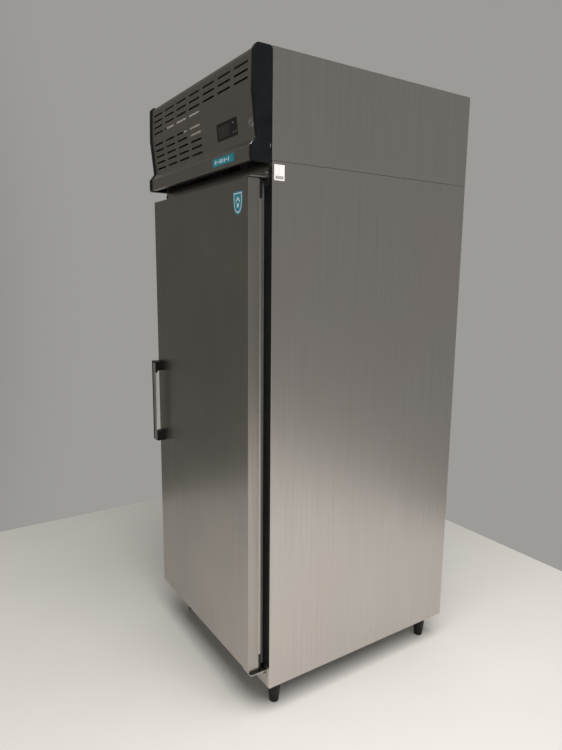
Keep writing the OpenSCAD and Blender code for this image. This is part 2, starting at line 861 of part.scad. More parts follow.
module end_cap() {
    rear_y = -cap_gap;
    outer_t = 4;
    boss_d = 2 * fascia_r - 0.8;
    bore_d = 5 + 2 * run_fit;
    difference() {
        union() {
            along_x(-half_w, -half_w + outer_t) polygon(fascia_outline(0, rear_y));
            along_x(-half_w + outer_t, -half_w + cap_w) difference() {
                polygon(fascia_outline(0, rear_y));
                polygon(fascia_outline(cap_rim, rear_y - 4, sheet_heel));
            }
            rod_x(-half_w + outer_t - 1, -half_w + cap_w - 0.3, fascia_pivot_y, fascia_pivot_z, boss_d);
        }
        rod_x(-half_w + outer_t, -half_w + cap_w + 1, fascia_pivot_y, fascia_pivot_z, bore_d);
        rod_x(-half_w - 1, -half_w + 1.2, -cap_gap - 2, seam_z + 36, 9);
    }
}

module end_cap_left() {
    color("#101418") in_place() end_cap();
}

module end_cap_right() {
    color("#101418") in_place() mirror([1, 0, 0]) end_cap();
}

// A piece drawn on the sloping part of the fascia: X across, Y up the slope, Z out of it.
module on_slope(x, z) {
    y = face_y + (bend_z - z) * tan(slope_a);
    translate([x, y, z]) rotate([90 + slope_a, 0, 0]) children();
}

module slot_pattern() {
    long_rows = 3;
    top_z = bend_z + 75;
    for (column = [-3:3]) for (row = [0:long_rows - 1])
        slot_plan(column * slot_pitch_x, top_z - row * slot_pitch_z, slot_w, slot_h);
    for (column = [-3:0]) for (row = [0:5])
        slot_plan(column * slot_pitch_x, top_z - (row < 1 ? 3 : row + 3.86) * slot_pitch_z,
            slot_w, slot_h);
}

module fascia_sheet() {
    sheet_t = 1.2;
    lip_return = 13;
    pivot_x0 = half_w - cap_w - 6;
    color("#8d8a85") in_place() difference() {
        along_x(-sheet_x, sheet_x) difference() {
            polygon(fascia_outline(cap_rim, -cap_gap - 4, sheet_heel));
            polygon(concat([[20, fascia_z0 + cap_rim + sheet_t], [20, cabinet_h - cap_rim - sheet_t]],
                [for (i = [9:len(fascia_outline(0, 0)) - 1])
                    fascia_outline(cap_rim + sheet_t, -cap_gap - 4, sheet_heel)[i]]));
        }
        along_x(-half_w, half_w) translate([face_y - lip_out + lip_return, fascia_z0])
            square([-face_y, cap_rim + sheet_t + 1]);
        along_y(-cap_out - 10, face_y + 30) slot_pattern();
        on_slope(window_x, window_z) translate([0, 0, -20]) linear_extrude(40)
            rounded_rect(-window_w / 2, window_w / 2, -window_h / 2, window_h / 2, 2);
        on_slope(lock_x, lock_z) translate([0, 0, -20]) cylinder(h = 40, d = 19);
        both_sides() block(pivot_x0, half_w, -24, 5, fascia_pivot_z - 14, cabinet_h + 1);
    }
}

key_w = 12;
key_h = 9;

module key_room(x, y, grow) {
    translate([x - key_w / 2 - grow, y - key_h / 2 - grow, -8])
        cube([key_w + 2 * grow, key_h + 2 * grow, 12]);
}

key_places = [[36, 12], [36, -12], [50, -12]];
lens_w = 66;
lens_h = 34;
lens_x = -20;

module controller() {
    color("#17181a") in_place() on_slope(window_x, window_z) difference() {
        union() {
            translate([-window_w / 2 + 0.3, -window_h / 2 + 0.3, -4])
                cube([window_w - 0.6, window_h - 0.6, 2.4]);
            translate([-window_w / 2 - 4, -window_h / 2 - 4, -4])
                cube([window_w + 8, window_h + 8, 2.5]);
            translate([-window_w / 2 + 6, -window_h / 2 + 4, -34])
                cube([window_w - 12, window_h - 8, 30]);
        }
        translate([lens_x - lens_w / 2 - 0.2, -lens_h / 2 - 0.2, -3.6])
            cube([lens_w + 0.4, lens_h + 0.4, 3]);
        for (p = key_places) translate([0, 0, 3]) key_room(p[0], p[1], gap);
    }
}

module display_lens() {
    color("#2a0f10") in_place() on_slope(window_x, window_z)
        translate([lens_x - lens_w / 2, -lens_h / 2, -3.5]) cube([lens_w, lens_h, 2.3]);
}

module key(i) {
    color("#3a3d40") in_place() on_slope(window_x, window_z)
        translate([key_places[i][0] - key_w / 2, key_places[i][1] - key_h / 2, -3.6])
            cube([key_w, key_h, 3.4]);
}

module key_set() {
    key(0);
}

module key_up() {
    key(1);
}

module key_down() {
    key(2);
}

module lock_barrel() {
    color("silver") in_place() on_slope(lock_x, lock_z) difference() {
        union() {
            translate([0, 0, 0.2]) cylinder(h = 2.5, d = 23);
            translate([0, 0, -26]) cylinder(h = 26.5, d = 18.6);
        }
        translate([0, 0, -27]) cylinder(h = 40, d = 12 + 2 * run_fit);
    }
}

module lock_cylinder() {
    cam_z = -52;
    color("silver") in_place() on_slope(lock_x, lock_z) {
        difference() {
            translate([0, 0, cam_z]) cylinder(h = 2.4 - cam_z, d = 12);
            translate([-0.9, -4.2, -15]) cube([1.8, 8.4, 20]);
        }
        translate([0, 0, cam_z]) cylinder(h = 2.5, d = 16);
        translate([-7, -22, cam_z]) cube([14, 22, 2.5]);
    }
}

module nameplate() {
    y = face_y - lip_out;
    z = (step_z0 + fascia_z0) / 2 + 4;
    color("#1f7f93") in_place() along_y(y - 0.8, y - 0.1)
        rounded_rect(window_x - 62, window_x + 62, z - 11, z + 11, 2);
}

// ---------- feet ----------

module foot(i) {
    p = foot_xy()[i];
    collar_z = base_z - 12;
    stem_z = base_z + socket_h + 4;
    color("#141518") in_place() translate([p[0], p[1], 0]) rotate_extrude($fn = 64)
        polygon([[0, 0], [foot_base_d / 2 - 1.5, 0], [foot_base_d / 2, 1.5], [foot_d / 2, 45],
            [foot_d / 2, collar_z - 2], [foot_d / 2 - 2, collar_z], [stem_d / 2, collar_z],
            [stem_d / 2, stem_z - 1], [stem_d / 2 - 1, stem_z], [0, stem_z]]);
}

module foot_front_left() {
    foot(0);
}

module foot_front_right() {
    foot(1);
}

module foot_rear_left() {
    foot(2);
}

module foot_rear_right() {
    foot(3);
}

// ---------- what is drawn ----------

side_panel_left();
side_panel_right();
back_panel();
base_panel();
deck_panel();
threshold();
breaker_frame();
side_insulation();
back_insulation();
deck_insulation();
inner_liner();
upper_panel_left();
upper_panel_right();
upper_back_panel();
top_cover();
fascia_brackets();
compressor();
condenser();
fan_shroud();
refrigerant_lines();
electrical_box();
cable_gland();
evaporator();
drip_tray();
evaporator_cover();
evaporator_fan_motor();
cabinet_lamp();
uprights();
shelf_runners();
hinge_bracket_top();
hinge_bracket_bottom();
light_switch();
fascia_sheet();
end_cap_left();
end_cap_right();
controller();
display_lens();
lock_barrel();
nameplate();
lock_cylinder();
key_set();
key_up();
key_down();
switch_plunger();
condenser_fan();
evaporator_fan();
door_shell();
door_foam();
door_liner();
door_gasket();
handle_frame();
handle_grip();
hinge_bushes();
shelf_lower();
shelf_middle();
shelf_upper();
foot_front_left();
foot_front_right();
foot_rear_left();
foot_rear_right();
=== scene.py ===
import math

import bmesh
import bpy
from mathutils import Matrix, Vector


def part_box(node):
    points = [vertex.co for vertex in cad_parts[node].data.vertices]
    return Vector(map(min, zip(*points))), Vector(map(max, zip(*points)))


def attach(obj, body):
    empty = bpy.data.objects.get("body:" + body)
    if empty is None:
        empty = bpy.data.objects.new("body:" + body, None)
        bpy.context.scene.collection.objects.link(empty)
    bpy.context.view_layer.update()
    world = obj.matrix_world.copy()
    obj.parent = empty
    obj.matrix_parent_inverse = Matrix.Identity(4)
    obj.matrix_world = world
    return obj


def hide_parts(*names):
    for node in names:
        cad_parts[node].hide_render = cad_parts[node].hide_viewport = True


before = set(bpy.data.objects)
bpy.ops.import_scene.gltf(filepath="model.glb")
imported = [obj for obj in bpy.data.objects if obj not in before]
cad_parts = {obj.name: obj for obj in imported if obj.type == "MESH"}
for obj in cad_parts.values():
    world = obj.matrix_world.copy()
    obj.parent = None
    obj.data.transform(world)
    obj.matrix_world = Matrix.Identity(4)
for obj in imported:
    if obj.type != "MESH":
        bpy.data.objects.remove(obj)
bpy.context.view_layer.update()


# The viewer: stands in front of the hinged side, a little above the middle of the door, and
# looks slightly down with a wide phone lens.
camera = bpy.data.cameras.new("view")
camera.lens = 27.83
camera.sensor_width = 36
camera.clip_end = 60
viewer = bpy.data.objects.new("view", camera)
bpy.context.scene.collection.objects.link(viewer)
stands_at = (1.6814, -1.1695, 1.3181)
turned_left = math.radians(56.67)
looks_down = math.radians(9.60)
leans = math.radians(0.52)
viewer.matrix_world = (
    Matrix.Translation(stands_at)
    @ Matrix.Rotation(turned_left, 4, "Z")
    @ Matrix.Rotation(math.pi / 2 - looks_down, 4, "X")
    @ Matrix.Rotation(leans, 4, "Z"))
bpy.context.scene.camera = viewer
bpy.context.scene.view_settings.view_transform = "Standard"


# The studio: a pale floor, a large soft lamp overhead, a small one up on the left, and grey
# surroundings that are darker to the front left and above, for the steel to mirror.
def linear(code):
    """An sRGB hex colour as linear red, green, blue and alpha."""
    parts = [int(code[i:i + 2], 16) / 255 for i in (1, 3, 5)]
    return [p / 12.92 if p <= 0.04045 else ((p + 0.055) / 1.055) ** 2.4 for p in parts] + [1]


def add(tree, kind, inputs=None, **settings):
    """Adds one node. Inputs are values or the sockets that feed them."""
    node = tree.nodes.new("ShaderNode" + kind)
    for name, value in settings.items():
        setattr(node, name, value)
    for name, value in (inputs or {}).items():
        if isinstance(value, bpy.types.NodeSocket):
            tree.links.new(value, node.inputs[name])
        else:
            node.inputs[name].default_value = value
    return node


FACTOR, FIRST, SECOND, MIXED = 0, 6, 7, 2   # the sockets of a Mix node that mixes colours


def new_finish(name):
    finish = bpy.data.materials.new(name)
    finish.use_nodes = True
    finish.node_tree.nodes.clear()
    return finish, finish.node_tree


def seal(tree, surface):
    add(tree, "OutputMaterial", {"Surface": surface.outputs[0]})


world = bpy.data.worlds.new("studio")
bpy.context.scene.world = world
world.use_nodes = True
sky = world.node_tree
sky.nodes.clear()
toward = add(sky, "TexCoord").outputs["Generated"]
front_left = add(sky, "VectorMath", {0: toward, 1: (-0.75, -0.66, 0)}, operation="DOT_PRODUCT")
back_right = add(sky, "VectorMath", {0: toward, 1: (0.80, 0.60, 0)}, operation="DOT_PRODUCT")
height = add(sky, "SeparateXYZ", {0: toward}).outputs["Z"]
# From a mid grey, each tone blends in between two readings of a direction or of the height: a
# dimmer back right, a dark doorway to the front left, grey above the walls and a paler ceiling.
room = linear("#9c9b98")
for reading, starts, full, tone in ((back_right.outputs["Value"], 0.1, 0.9, "#8f8d8b"),
                                    (front_left.outputs["Value"], 0.55, 0.92, "#676561"),
                                    (height, 0.40, 0.52, "#74716c"),
                                    (height, 0.72, 0.95, "#aaa8a4")):
    blend = add(sky, "MapRange", {"Value": reading, "From Min": starts, "From Max": full},
                interpolation_type="SMOOTHSTEP")
    room = add(sky, "Mix", {FACTOR: blend.outputs[0], FIRST: room, SECOND: linear(tone)},
               data_type="RGBA").outputs[MIXED]
sky_light = add(sky, "Background", {"Color": room, "Strength": 1.0})
add(sky, "OutputWorld", {"Surface": sky_light.outputs[0]})

soft_box = bpy.data.lights.new("soft_box", "AREA")
soft_box.shape = "RECTANGLE"
soft_box.size, soft_box.size_y = 3.6, 3.0
soft_box.energy = 175
soft_box.color = linear("#fffbf7")[:3]
lamp = bpy.data.objects.new("soft_box", soft_box)
lamp.location = (1.9, -0.5, 3.6)
lamp.visible_glossy = False
bpy.context.scene.collection.objects.link(lamp)

glint = bpy.data.lights.new("ceiling_panel", "AREA")
glint.shape = "SQUARE"
glint.size = 0.34
glint.energy = 6
panel = bpy.data.objects.new("ceiling_panel", glint)
panel.location = (-1.75, -0.29, 3.06)
near_cap = Vector((0.35, -0.39, 1.66))
panel.rotation_euler = (near_cap - panel.location).to_track_quat(
    "-Z", "Y").to_euler()
bpy.context.scene.collection.objects.link(panel)
glossy_mouldings = bpy.data.collections.new("glossy_mouldings")
for node in ("end_cap_left", "end_cap_right"):
    glossy_mouldings.objects.link(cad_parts[node])
panel.light_linking.receiver_collection = glossy_mouldings

# Sealed concrete, ground and coated: pale, with a soft sheen and faint clouds over a metre wide.
sealed_concrete, tree = new_finish("sealed_concrete")
place = add(tree, "TexCoord").outputs["Object"]
clouds = add(tree, "TexNoise", {"Vector": place, "Scale": 0.9, "Detail": 6, "Roughness": 0.6})
floor_tone = add(tree, "Mix", {FACTOR: clouds.outputs["Fac"], FIRST: linear("#dedcd9"),
                 SECOND: linear("#efeeec")}, data_type="RGBA")
seal(tree, add(tree, "BsdfPrincipled", {"Base Color": floor_tone.outputs[MIXED],
     "Roughness": 0.5}))
floor_mesh = bpy.data.meshes.new("floor")
# The floor ends on the left and at the back, where the walls of a room would stand.
left, right, near, far = -1.48, 7, -7, 1.27
floor_mesh.from_pydata([(left, near, 0), (right, near, 0), (right, far, 0), (left, far, 0)],
                       [], [(0, 1, 2, 3)])
floor = bpy.data.objects.new("floor", floor_mesh)
floor.data.materials.append(sealed_concrete)
bpy.context.scene.collection.objects.link(floor)


# Outer side panels: 1 mm satin stainless steel, folded with a 2 mm outside radius along the
# front and back. The machine compartment has its own pair, so a fine joint runs round the
# cabinet above the door.
def rounded(node, radius, steps=2):
    """Rounds the edges of a carried-over piece by radius, in metres."""
    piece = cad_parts[node]
    weld = piece.modifiers.new("joined", "WELD")
    weld.merge_threshold = 1e-5
    round_off = piece.modifiers.new("rounded", "BEVEL")
    round_off.width = radius
    round_off.segments = steps
    round_off.limit_method = "ANGLE"
    round_off.angle_limit = math.radians(35)
    round_off.harden_normals = True


def dress(finish, *nodes):
    """Gives carried-over pieces their finish."""
    for node in nodes:
        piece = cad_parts[node]
        if not piece.material_slots:
            piece.data.materials.append(finish)
        for held in piece.material_slots:
            held.material = finish


def fitted(name, mesh, finish, body, smooth_below=40):
    """Makes a piece from a bmesh, gives it its finish and hangs it on its body."""
    bmesh.ops.recalc_face_normals(mesh, faces=mesh.faces)
    data = bpy.data.meshes.new(name)
    mesh.to_mesh(data)
    mesh.free()
    data.shade_smooth()
    data.set_sharp_from_angle(angle=math.radians(smooth_below))
    data.materials.append(finish)
    piece = bpy.data.objects.new(name, data)
    bpy.context.scene.collection.objects.link(piece)
    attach(piece, body)
    return piece


def bent(name, node, bends, finish, body):
    """A copy of a folded sheet with its true bend radii, which stands for the plain one. Bends
    are pairs of a radius and a rule that picks the edge from its two ends."""
    sheet = bmesh.new()
    sheet.from_mesh(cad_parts[node].data)
    bmesh.ops.remove_doubles(sheet, verts=sheet.verts, dist=1e-6)
    bmesh.ops.dissolve_limit(sheet, angle_limit=math.radians(1), verts=sheet.verts,
                             edges=sheet.edges)
    for radius, rule in bends:
        folds = [e for e in sheet.edges if len(e.link_faces) == 2
                 and e.calc_face_angle(0) > math.radians(30)
                 and rule(e.verts[0].co, e.verts[1].co)]
        bmesh.ops.bevel(sheet, geom=folds, offset=radius, segments=4, profile=0.5,
                        affect="EDGES", clamp_overlap=False)
    piece = fitted(name, sheet, finish, body, smooth_below=32)
    flats = piece.modifiers.new("flats", "WEIGHTED_NORMAL")
    flats.keep_sharp = True
    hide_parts(node)
    return piece


def satin_stainless(name, pale, deep, rough, stretch):
    """Cold-rolled 304 sheet, ground upright with a fine belt: a grey metal whose reflections
    are smeared sideways, with faint upright streaks and slow, slightly warm patches."""
    finish, tree = new_finish(name)
    place = add(tree, "TexCoord").outputs["Object"]
    # Belt scratches are about 0.1 mm wide: drawn 3 mm wide so that they show.
    thread = add(tree, "Mapping", {"Vector": place, "Scale": (330, 330, 2.5)})
    grain = add(tree, "TexNoise", {"Vector": thread.outputs[0], "Scale": 1, "Detail": 3,
                "Roughness": 0.6}).outputs["Fac"]
    # Handling leaves slow patches, about 400 mm wide.
    patches = add(tree, "TexNoise", {"Vector": place, "Scale": 2.4, "Detail": 3,
                  "Roughness": 0.55}).outputs["Fac"]
    shade = add(tree, "MapRange", {"Value": grain, "From Min": 0.3, "From Max": 0.7})
    tone = add(tree, "Mix", {FACTOR: shade.outputs[0], FIRST: linear(pale),
               SECOND: linear(deep)}, data_type="RGBA")
    warm = add(tree, "MapRange", {"Value": patches, "From Min": 0.4, "From Max": 0.72,
               "To Min": 0, "To Max": 0.3})
    tinted = add(tree, "Mix", {FACTOR: warm.outputs[0], FIRST: tone.outputs[MIXED],
                 SECOND: linear("#c6bab0")}, data_type="RGBA")
    dull = add(tree, "MapRange", {"Value": grain, "From Min": 0.3, "From Max": 0.7,
               "To Min": rough - 0.03, "To Max": rough + 0.03})
    scratches = add(tree, "Bump", {"Height": grain, "Strength": 0.05, "Distance": 0.0003})
    # Thin sheet is never quite flat: it waves by a fraction of a millimetre over 300 mm.
    waves = add(tree, "TexNoise", {"Vector": place, "Scale": 3.3, "Detail": 1})
    sheet = add(tree, "Bump", {"Height": waves.outputs["Fac"], "Strength": 0.3,
                "Distance": 0.0012, "Normal": scratches.outputs[0]})
    around = add(tree, "Tangent", direction_type="RADIAL", axis="Z")
    seal(tree, add(tree, "BsdfPrincipled", {
        "Base Color": tinted.outputs[MIXED], "Metallic": 1.0, "Roughness": dull.outputs[0],
        "Anisotropic": stretch, "Tangent": around.outputs[0], "Normal": sheet.outputs[0]}))
    return finish


cabinet_steel = satin_stainless("satin_stainless_cabinet", "#c9c6c3", "#bfbcb8", 0.36, 0.6)
for level in ("side", "upper"):
    for hand, out in (("left", -1), ("right", 1)):
        node = level + "_panel_" + hand
        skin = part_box(node)[1 if out > 0 else 0][0]
        bent(node + "_folded", node, [
            (0.002, lambda a, b: max(abs(a.x - skin), abs(b.x - skin)) < 1e-4
             and abs(a.y - b.y) < 1e-4 and abs(a.z - b.z) > 0.1),
            (0.0005, lambda a, b: max(abs(a.x - skin), abs(b.x - skin)) < 1e-4
             and abs(a.z - b.z) < 1e-4 and abs(a.y - b.y) > 0.5)],
            cabinet_steel, "cabinet")


# Rating label: a white paper sticker near the top of the side panel. It is printed in grey,
# in rows too small to read, above one solid block.
def rounded_outline(width, height, radius, corner_steps=4):
    """Points round a rectangle with round corners, centred on the origin."""
    points = []
    for turn, (sx, sy) in enumerate(((1, 1), (-1, 1), (-1, -1), (1, -1))):
        for step in range(corner_steps + 1):
            angle = math.pi / 2 * (turn + step / corner_steps)
            points.append((sx * (width / 2 - radius) + radius * math.cos(angle),
                           sy * (height / 2 - radius) + radius * math.sin(angle)))
    return points


def plate(mesh, outline, thick, place):
    """Adds a flat plate of that outline, thick along its own +Z, moved to its place."""
    back = [mesh.verts.new(place @ Vector((x, y, 0))) for x, y in outline]
    front = [mesh.verts.new(place @ Vector((x, y, thick))) for x, y in outline]
    count = len(outline)
    for i in range(count):
        mesh.faces.new((back[i], back[(i + 1) % count], front[(i + 1) % count], front[i]))
    mesh.faces.new(front)
    mesh.faces.new(list(reversed(back)))


def facing(centre, out, up=(0, 0, 1)):
    """A place whose own Z points out of the surface and whose Y points up it."""
    z = Vector(out).normalized()
    x = Vector(up).cross(z).normalized()
    y = z.cross(x)
    turn = Matrix((x, y, z)).transposed().to_4x4()
    return Matrix.Translation(Vector(centre)) @ turn


label_centre = (0.355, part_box("side_panel_right")[0][1] + 0.0222, 1.5868)
label_place = facing(label_centre, (1, 0, 0))
sticker = bmesh.new()
plate(sticker, rounded_outline(0.0325, 0.040, 0.0012), 0.00004, label_place)
label_paper, tree = new_finish("printed_label_paper")
place = add(tree, "TexCoord").outputs["Object"]
split = add(tree, "SeparateXYZ", {0: place})
# Rows of print 2.4 mm apart over the left, and a solid bar near the foot.
row = add(tree, "Math", {0: split.outputs["Z"], 1: 2 * math.pi / 0.0024}, operation="MULTIPLY")
wave = add(tree, "Math", {0: row.outputs[0]}, operation="SINE")
words = add(tree, "TexNoise", {"Vector": place, "Scale": 500, "Detail": 1}).outputs["Fac"]
inked = add(tree, "Math", {0: wave.outputs[0], 1: words}, operation="MULTIPLY")
rows = add(tree, "MapRange", {"Value": inked.outputs[0], "From Min": 0.2, "From Max": 0.5,
           "To Max": 0.3})
left_part = add(tree, "MapRange", {"Value": split.outputs["Y"], "From Min": label_centre[1],
                "From Max": label_centre[1] + 0.004, "To Min": 1, "To Max": 0.1})
lines = add(tree, "Math", {0: rows.outputs[0], 1: left_part.outputs[0]}, operation="MULTIPLY")
up_bar = add(tree, "Math", {0: split.outputs["Z"], 1: label_centre[2] - 0.0125},
             operation="SUBTRACT")
across_bar = add(tree, "Math", {0: split.outputs["Y"], 1: label_centre[1] + 0.0005},
                 operation="SUBTRACT")
bar_parts = []
for offset, half in ((up_bar, 0.0038), (across_bar, 0.0125)):
    away = add(tree, "Math", {0: offset.outputs[0]}, operation="ABSOLUTE")
    bar_parts.append(add(tree, "MapRange", {"Value": away.outputs[0], "From Min": half + 0.0004,
                         "From Max": half}))
bar = add(tree, "Math", {0: bar_parts[0].outputs[0], 1: bar_parts[1].outputs[0]},
          operation="MULTIPLY")
bar_ink = add(tree, "Math", {0: bar.outputs[0], 1: 0.62}, operation="MULTIPLY")
print_ink = add(tree, "Math", {0: lines.outputs[0], 1: bar_ink.outputs[0]},
                operation="MAXIMUM")
paper_tone = add(tree, "Mix", {FACTOR: print_ink.outputs[0], FIRST: linear("#f6f3f3"),
                 SECOND: linear("#4a4a50")}, data_type="RGBA")
seal(tree, add(tree, "BsdfPrincipled", {"Base Color": paper_tone.outputs[MIXED],
     "Roughness": 0.55}))
fitted("rating_label", sticker, label_paper, "cabinet")


# Back, base and top of the cabinet: 1 mm hot-dip galvanised sheet with a visible spangle,
# screwed on. Stub screws hold the vented back of the machine compartment.
def galvanised(name):
    """Zinc frozen into leaf-like crystals about 12 mm across: each mirrors a little
    differently, so the grey is mottled and half dull."""
    finish, tree = new_finish(name)
    place = add(tree, "TexCoord").outputs["Object"]
    bend = add(tree, "TexNoise", {"Vector": place, "Scale": 60, "Detail": 2})
    shifted = add(tree, "Mix", {FACTOR: 0.02, FIRST: place, SECOND: bend.outputs["Color"]},
                  data_type="RGBA")
    leaves = add(tree, "TexVoronoi", {"Vector": shifted.outputs[MIXED], "Scale": 85})
    leaf = add(tree, "SeparateColor", {0: leaves.outputs["Color"]})
    tone = add(tree, "Mix", {FACTOR: leaf.outputs[0], FIRST: linear("#a3a6a8"),
               SECOND: linear("#b9bbbb")}, data_type="RGBA")
    dull = add(tree, "MapRange", {"Value": leaf.outputs[1], "To Min": 0.38, "To Max": 0.55})
    seal(tree, add(tree, "BsdfPrincipled", {"Base Color": tone.outputs[MIXED],
         "Metallic": 0.9, "Roughness": dull.outputs[0]}))
    return finish


zinc_sheet = galvanised("galvanised_spangle")
dress(zinc_sheet, "back_panel", "base_panel", "upper_back_panel", "top_cover",
      "fascia_brackets", "drip_tray")
for node in ("back_panel", "top_cover", "base_panel"):
    rounded(node, 0.0003)


def screw_head(mesh, centre, out, radius, tall):
    """Adds a pan head with a cross recess that stands on a surface and faces out."""
    place = facing(centre, out, (0, 0, 1) if abs(out[2]) < 0.9 else (0, 1, 0))
    wide, thin = 0.5 * radius, 0.13 * radius
    cross = []
    for quarter in range(4):
        turn = Matrix.Rotation(quarter * math.pi / 2, 2)
        for x, y in ((wide, -thin), (wide, thin), (thin, thin)):
            cross.append(turn @ Vector((x, y)))
    points = []
    for i, corner in enumerate(cross):
        points.append(corner)
        points.append((corner + cross[(i + 1) % 12]) / 2)
    rings = []
    start = math.atan2(-thin, wide)
    for size, height in ((1, 0), (1, 0.4), (0.88, 0.82), (0.68, 1)):
        ring = []
        for i in range(24):
            angle = start + 2 * math.pi * i / 24
            ring.append((radius * size * math.cos(angle), radius * size * math.sin(angle),
                         tall * height))
        rings.append(ring)
    rings.append([(p.x, p.y, tall) for p in points])
    rings.append([(p.x * 0.7, p.y * 0.7, tall * 0.25) for p in points])
    loops = [[mesh.verts.new(place @ Vector(p)) for p in ring] for ring in rings]
    for low, high in zip(loops, loops[1:]):
        for i in range(24):
            mesh.faces.new((low[i], low[(i + 1) % 24], high[(i + 1) % 24], high[i]))
    mesh.faces.new(loops[-1])
    mesh.faces.new(list(reversed(loops[0])))


def clouded(name, cloud_mm, detail, pale, deep, smooth, dull, **more):
    """A finish whose tone and gloss drift together in clouds of that size, from pale and smooth
    to deep and dull. More settings of the surface are given by their names."""
    finish, tree = new_finish(name)
    place = add(tree, "TexCoord").outputs["Object"]
    cloud = add(tree, "TexNoise", {"Vector": place, "Scale": 1000 / cloud_mm,
                "Detail": detail}).outputs["Fac"]
    tone = add(tree, "Mix", {FACTOR: cloud, FIRST: linear(pale), SECOND: linear(deep)},
               data_type="RGBA")
    gloss = add(tree, "MapRange", {"Value": cloud, "To Min": smooth, "To Max": dull})
    surface = {key.replace("_", " "): value for key, value in more.items()}
    seal(tree, add(tree, "BsdfPrincipled", {"Base Color": tone.outputs[MIXED],
         "Roughness": gloss.outputs[0], **surface}))
    return finish


# Zinc-plated steel, passivated: bright blue-grey with a trace of yellow in the dull spots.
zinc_plated = clouded("zinc_plated_steel", 6.25, 3, "#c2c4c6", "#a8a596", 0.22, 0.42,
                      Metallic=1.0)

vent_low, vent_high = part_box("upper_back_panel")
stubs = bmesh.new()
edge_gap = 0.014
for x in (-0.33, -0.11, 0.11, 0.33):
    for z in (vent_low[2] + edge_gap, vent_high[2] - edge_gap):
        screw_head(stubs, (x, vent_high[1], z), (0, 1, 0), 0.0042, 0.0022)
fitted("back_vent_screws", stubs, zinc_plated, "cabinet")


# Foam: polyurethane poured between the skins of the walls, the floor, the roof and the door.
# It is cream, open where it was cut, with bubbles of about 1 mm.
poured_foam, tree = new_finish("poured_polyurethane")
place = add(tree, "TexCoord").outputs["Object"]
bubbles = add(tree, "TexVoronoi", {"Vector": place, "Scale": 900})
mottle = add(tree, "TexNoise", {"Vector": place, "Scale": 40, "Detail": 4})
tone = add(tree, "Mix", {FACTOR: mottle.outputs["Fac"], FIRST: linear("#e0c98d"),
           SECOND: linear("#d2b573")}, data_type="RGBA")
pits = add(tree, "Bump", {"Height": bubbles.outputs["Distance"], "Strength": 0.6,
           "Distance": 0.0005})
seal(tree, add(tree, "BsdfPrincipled", {"Base Color": tone.outputs[MIXED], "Roughness": 0.9,
     "Normal": pits.outputs[0]}))
dress(poured_foam, "side_insulation", "back_insulation", "deck_insulation", "door_foam")


# Inner liner, air duct cover and the door's inner face: thin stainless steel left as rolled,
# so it is paler and softer than the outside and has no grain.
rolled_stainless, tree = new_finish("rolled_stainless_lining")
place = add(tree, "TexCoord").outputs["Object"]
smears = add(tree, "TexNoise", {"Vector": place, "Scale": 7, "Detail": 4}).outputs["Fac"]
tone = add(tree, "Mix", {FACTOR: smears, FIRST: linear("#cdcbc7"), SECOND: linear("#bdbab5")},
           data_type="RGBA")
dull = add(tree, "MapRange", {"Value": smears, "To Min": 0.3, "To Max": 0.42})
ripple = add(tree, "TexNoise", {"Vector": place, "Scale": 5, "Detail": 1})
uneven = add(tree, "Bump", {"Height": ripple.outputs["Fac"], "Strength": 0.25,
             "Distance": 0.001})
seal(tree, add(tree, "BsdfPrincipled", {"Base Color": tone.outputs[MIXED], "Metallic": 1.0,
     "Roughness": dull.outputs[0], "Normal": uneven.outputs[0]}))
dress(rolled_stainless, "inner_liner", "evaporator_cover", "door_liner")


# Steel seen from the front: the folded front edge of the deck above the door and the folded strip
# below it, both ground satin like the door itself. It is the side panels' steel toned darker, as
# painted shade on the faces turned to the front.
shaded_front_steel = satin_stainless("satin_stainless_front_painted_shade", "#aeaba6", "#a3a09b", 0.31, 0.6)
dress(shaded_front_steel, "deck_panel", "threshold")
rounded("deck_panel", 0.0005)
rounded("threshold", 0.0005)


# Breaker frame: a black extruded plastic profile around the door opening, which keeps the cold
# liner from touching the outer skin. The hinge bushes on the door are moulded in black nylon.
def moulded(name, colour, rough, texture_mm, depth=0.25, gloss=0.5):
    """Pressure-moulded or extruded plastic: one dyed colour with a faint cloud, a fine etched
    texture and slightly uneven gloss."""
    finish, tree = new_finish(name)
    place = add(tree, "TexCoord").outputs["Object"]
    cloud = add(tree, "TexNoise", {"Vector": place, "Scale": 25, "Detail": 3}).outputs["Fac"]
    lighter = add(tree, "Mix", {FACTOR: 0.03, FIRST: linear(colour), SECOND: linear("#8a8d90")},
                  data_type="RGBA")
    tone = add(tree, "Mix", {FACTOR: cloud, FIRST: linear(colour),
               SECOND: lighter.outputs[MIXED]}, data_type="RGBA")
    etch = add(tree, "TexNoise", {"Vector": place, "Scale": 1000 / texture_mm, "Detail": 2})
    skin = add(tree, "Bump", {"Height": etch.outputs["Fac"], "Strength": depth,
               "Distance": 0.0002})
    dull = add(tree, "MapRange", {"Value": cloud, "From Min": 0.3, "From Max": 0.7,
               "To Min": rough - 0.05, "To Max": rough + 0.06})
    seal(tree, add(tree, "BsdfPrincipled", {"Base Color": tone.outputs[MIXED],
         "Roughness": dull.outputs[0], "Normal": skin.outputs[0],
         "Specular IOR Level": gloss}))
    return finish


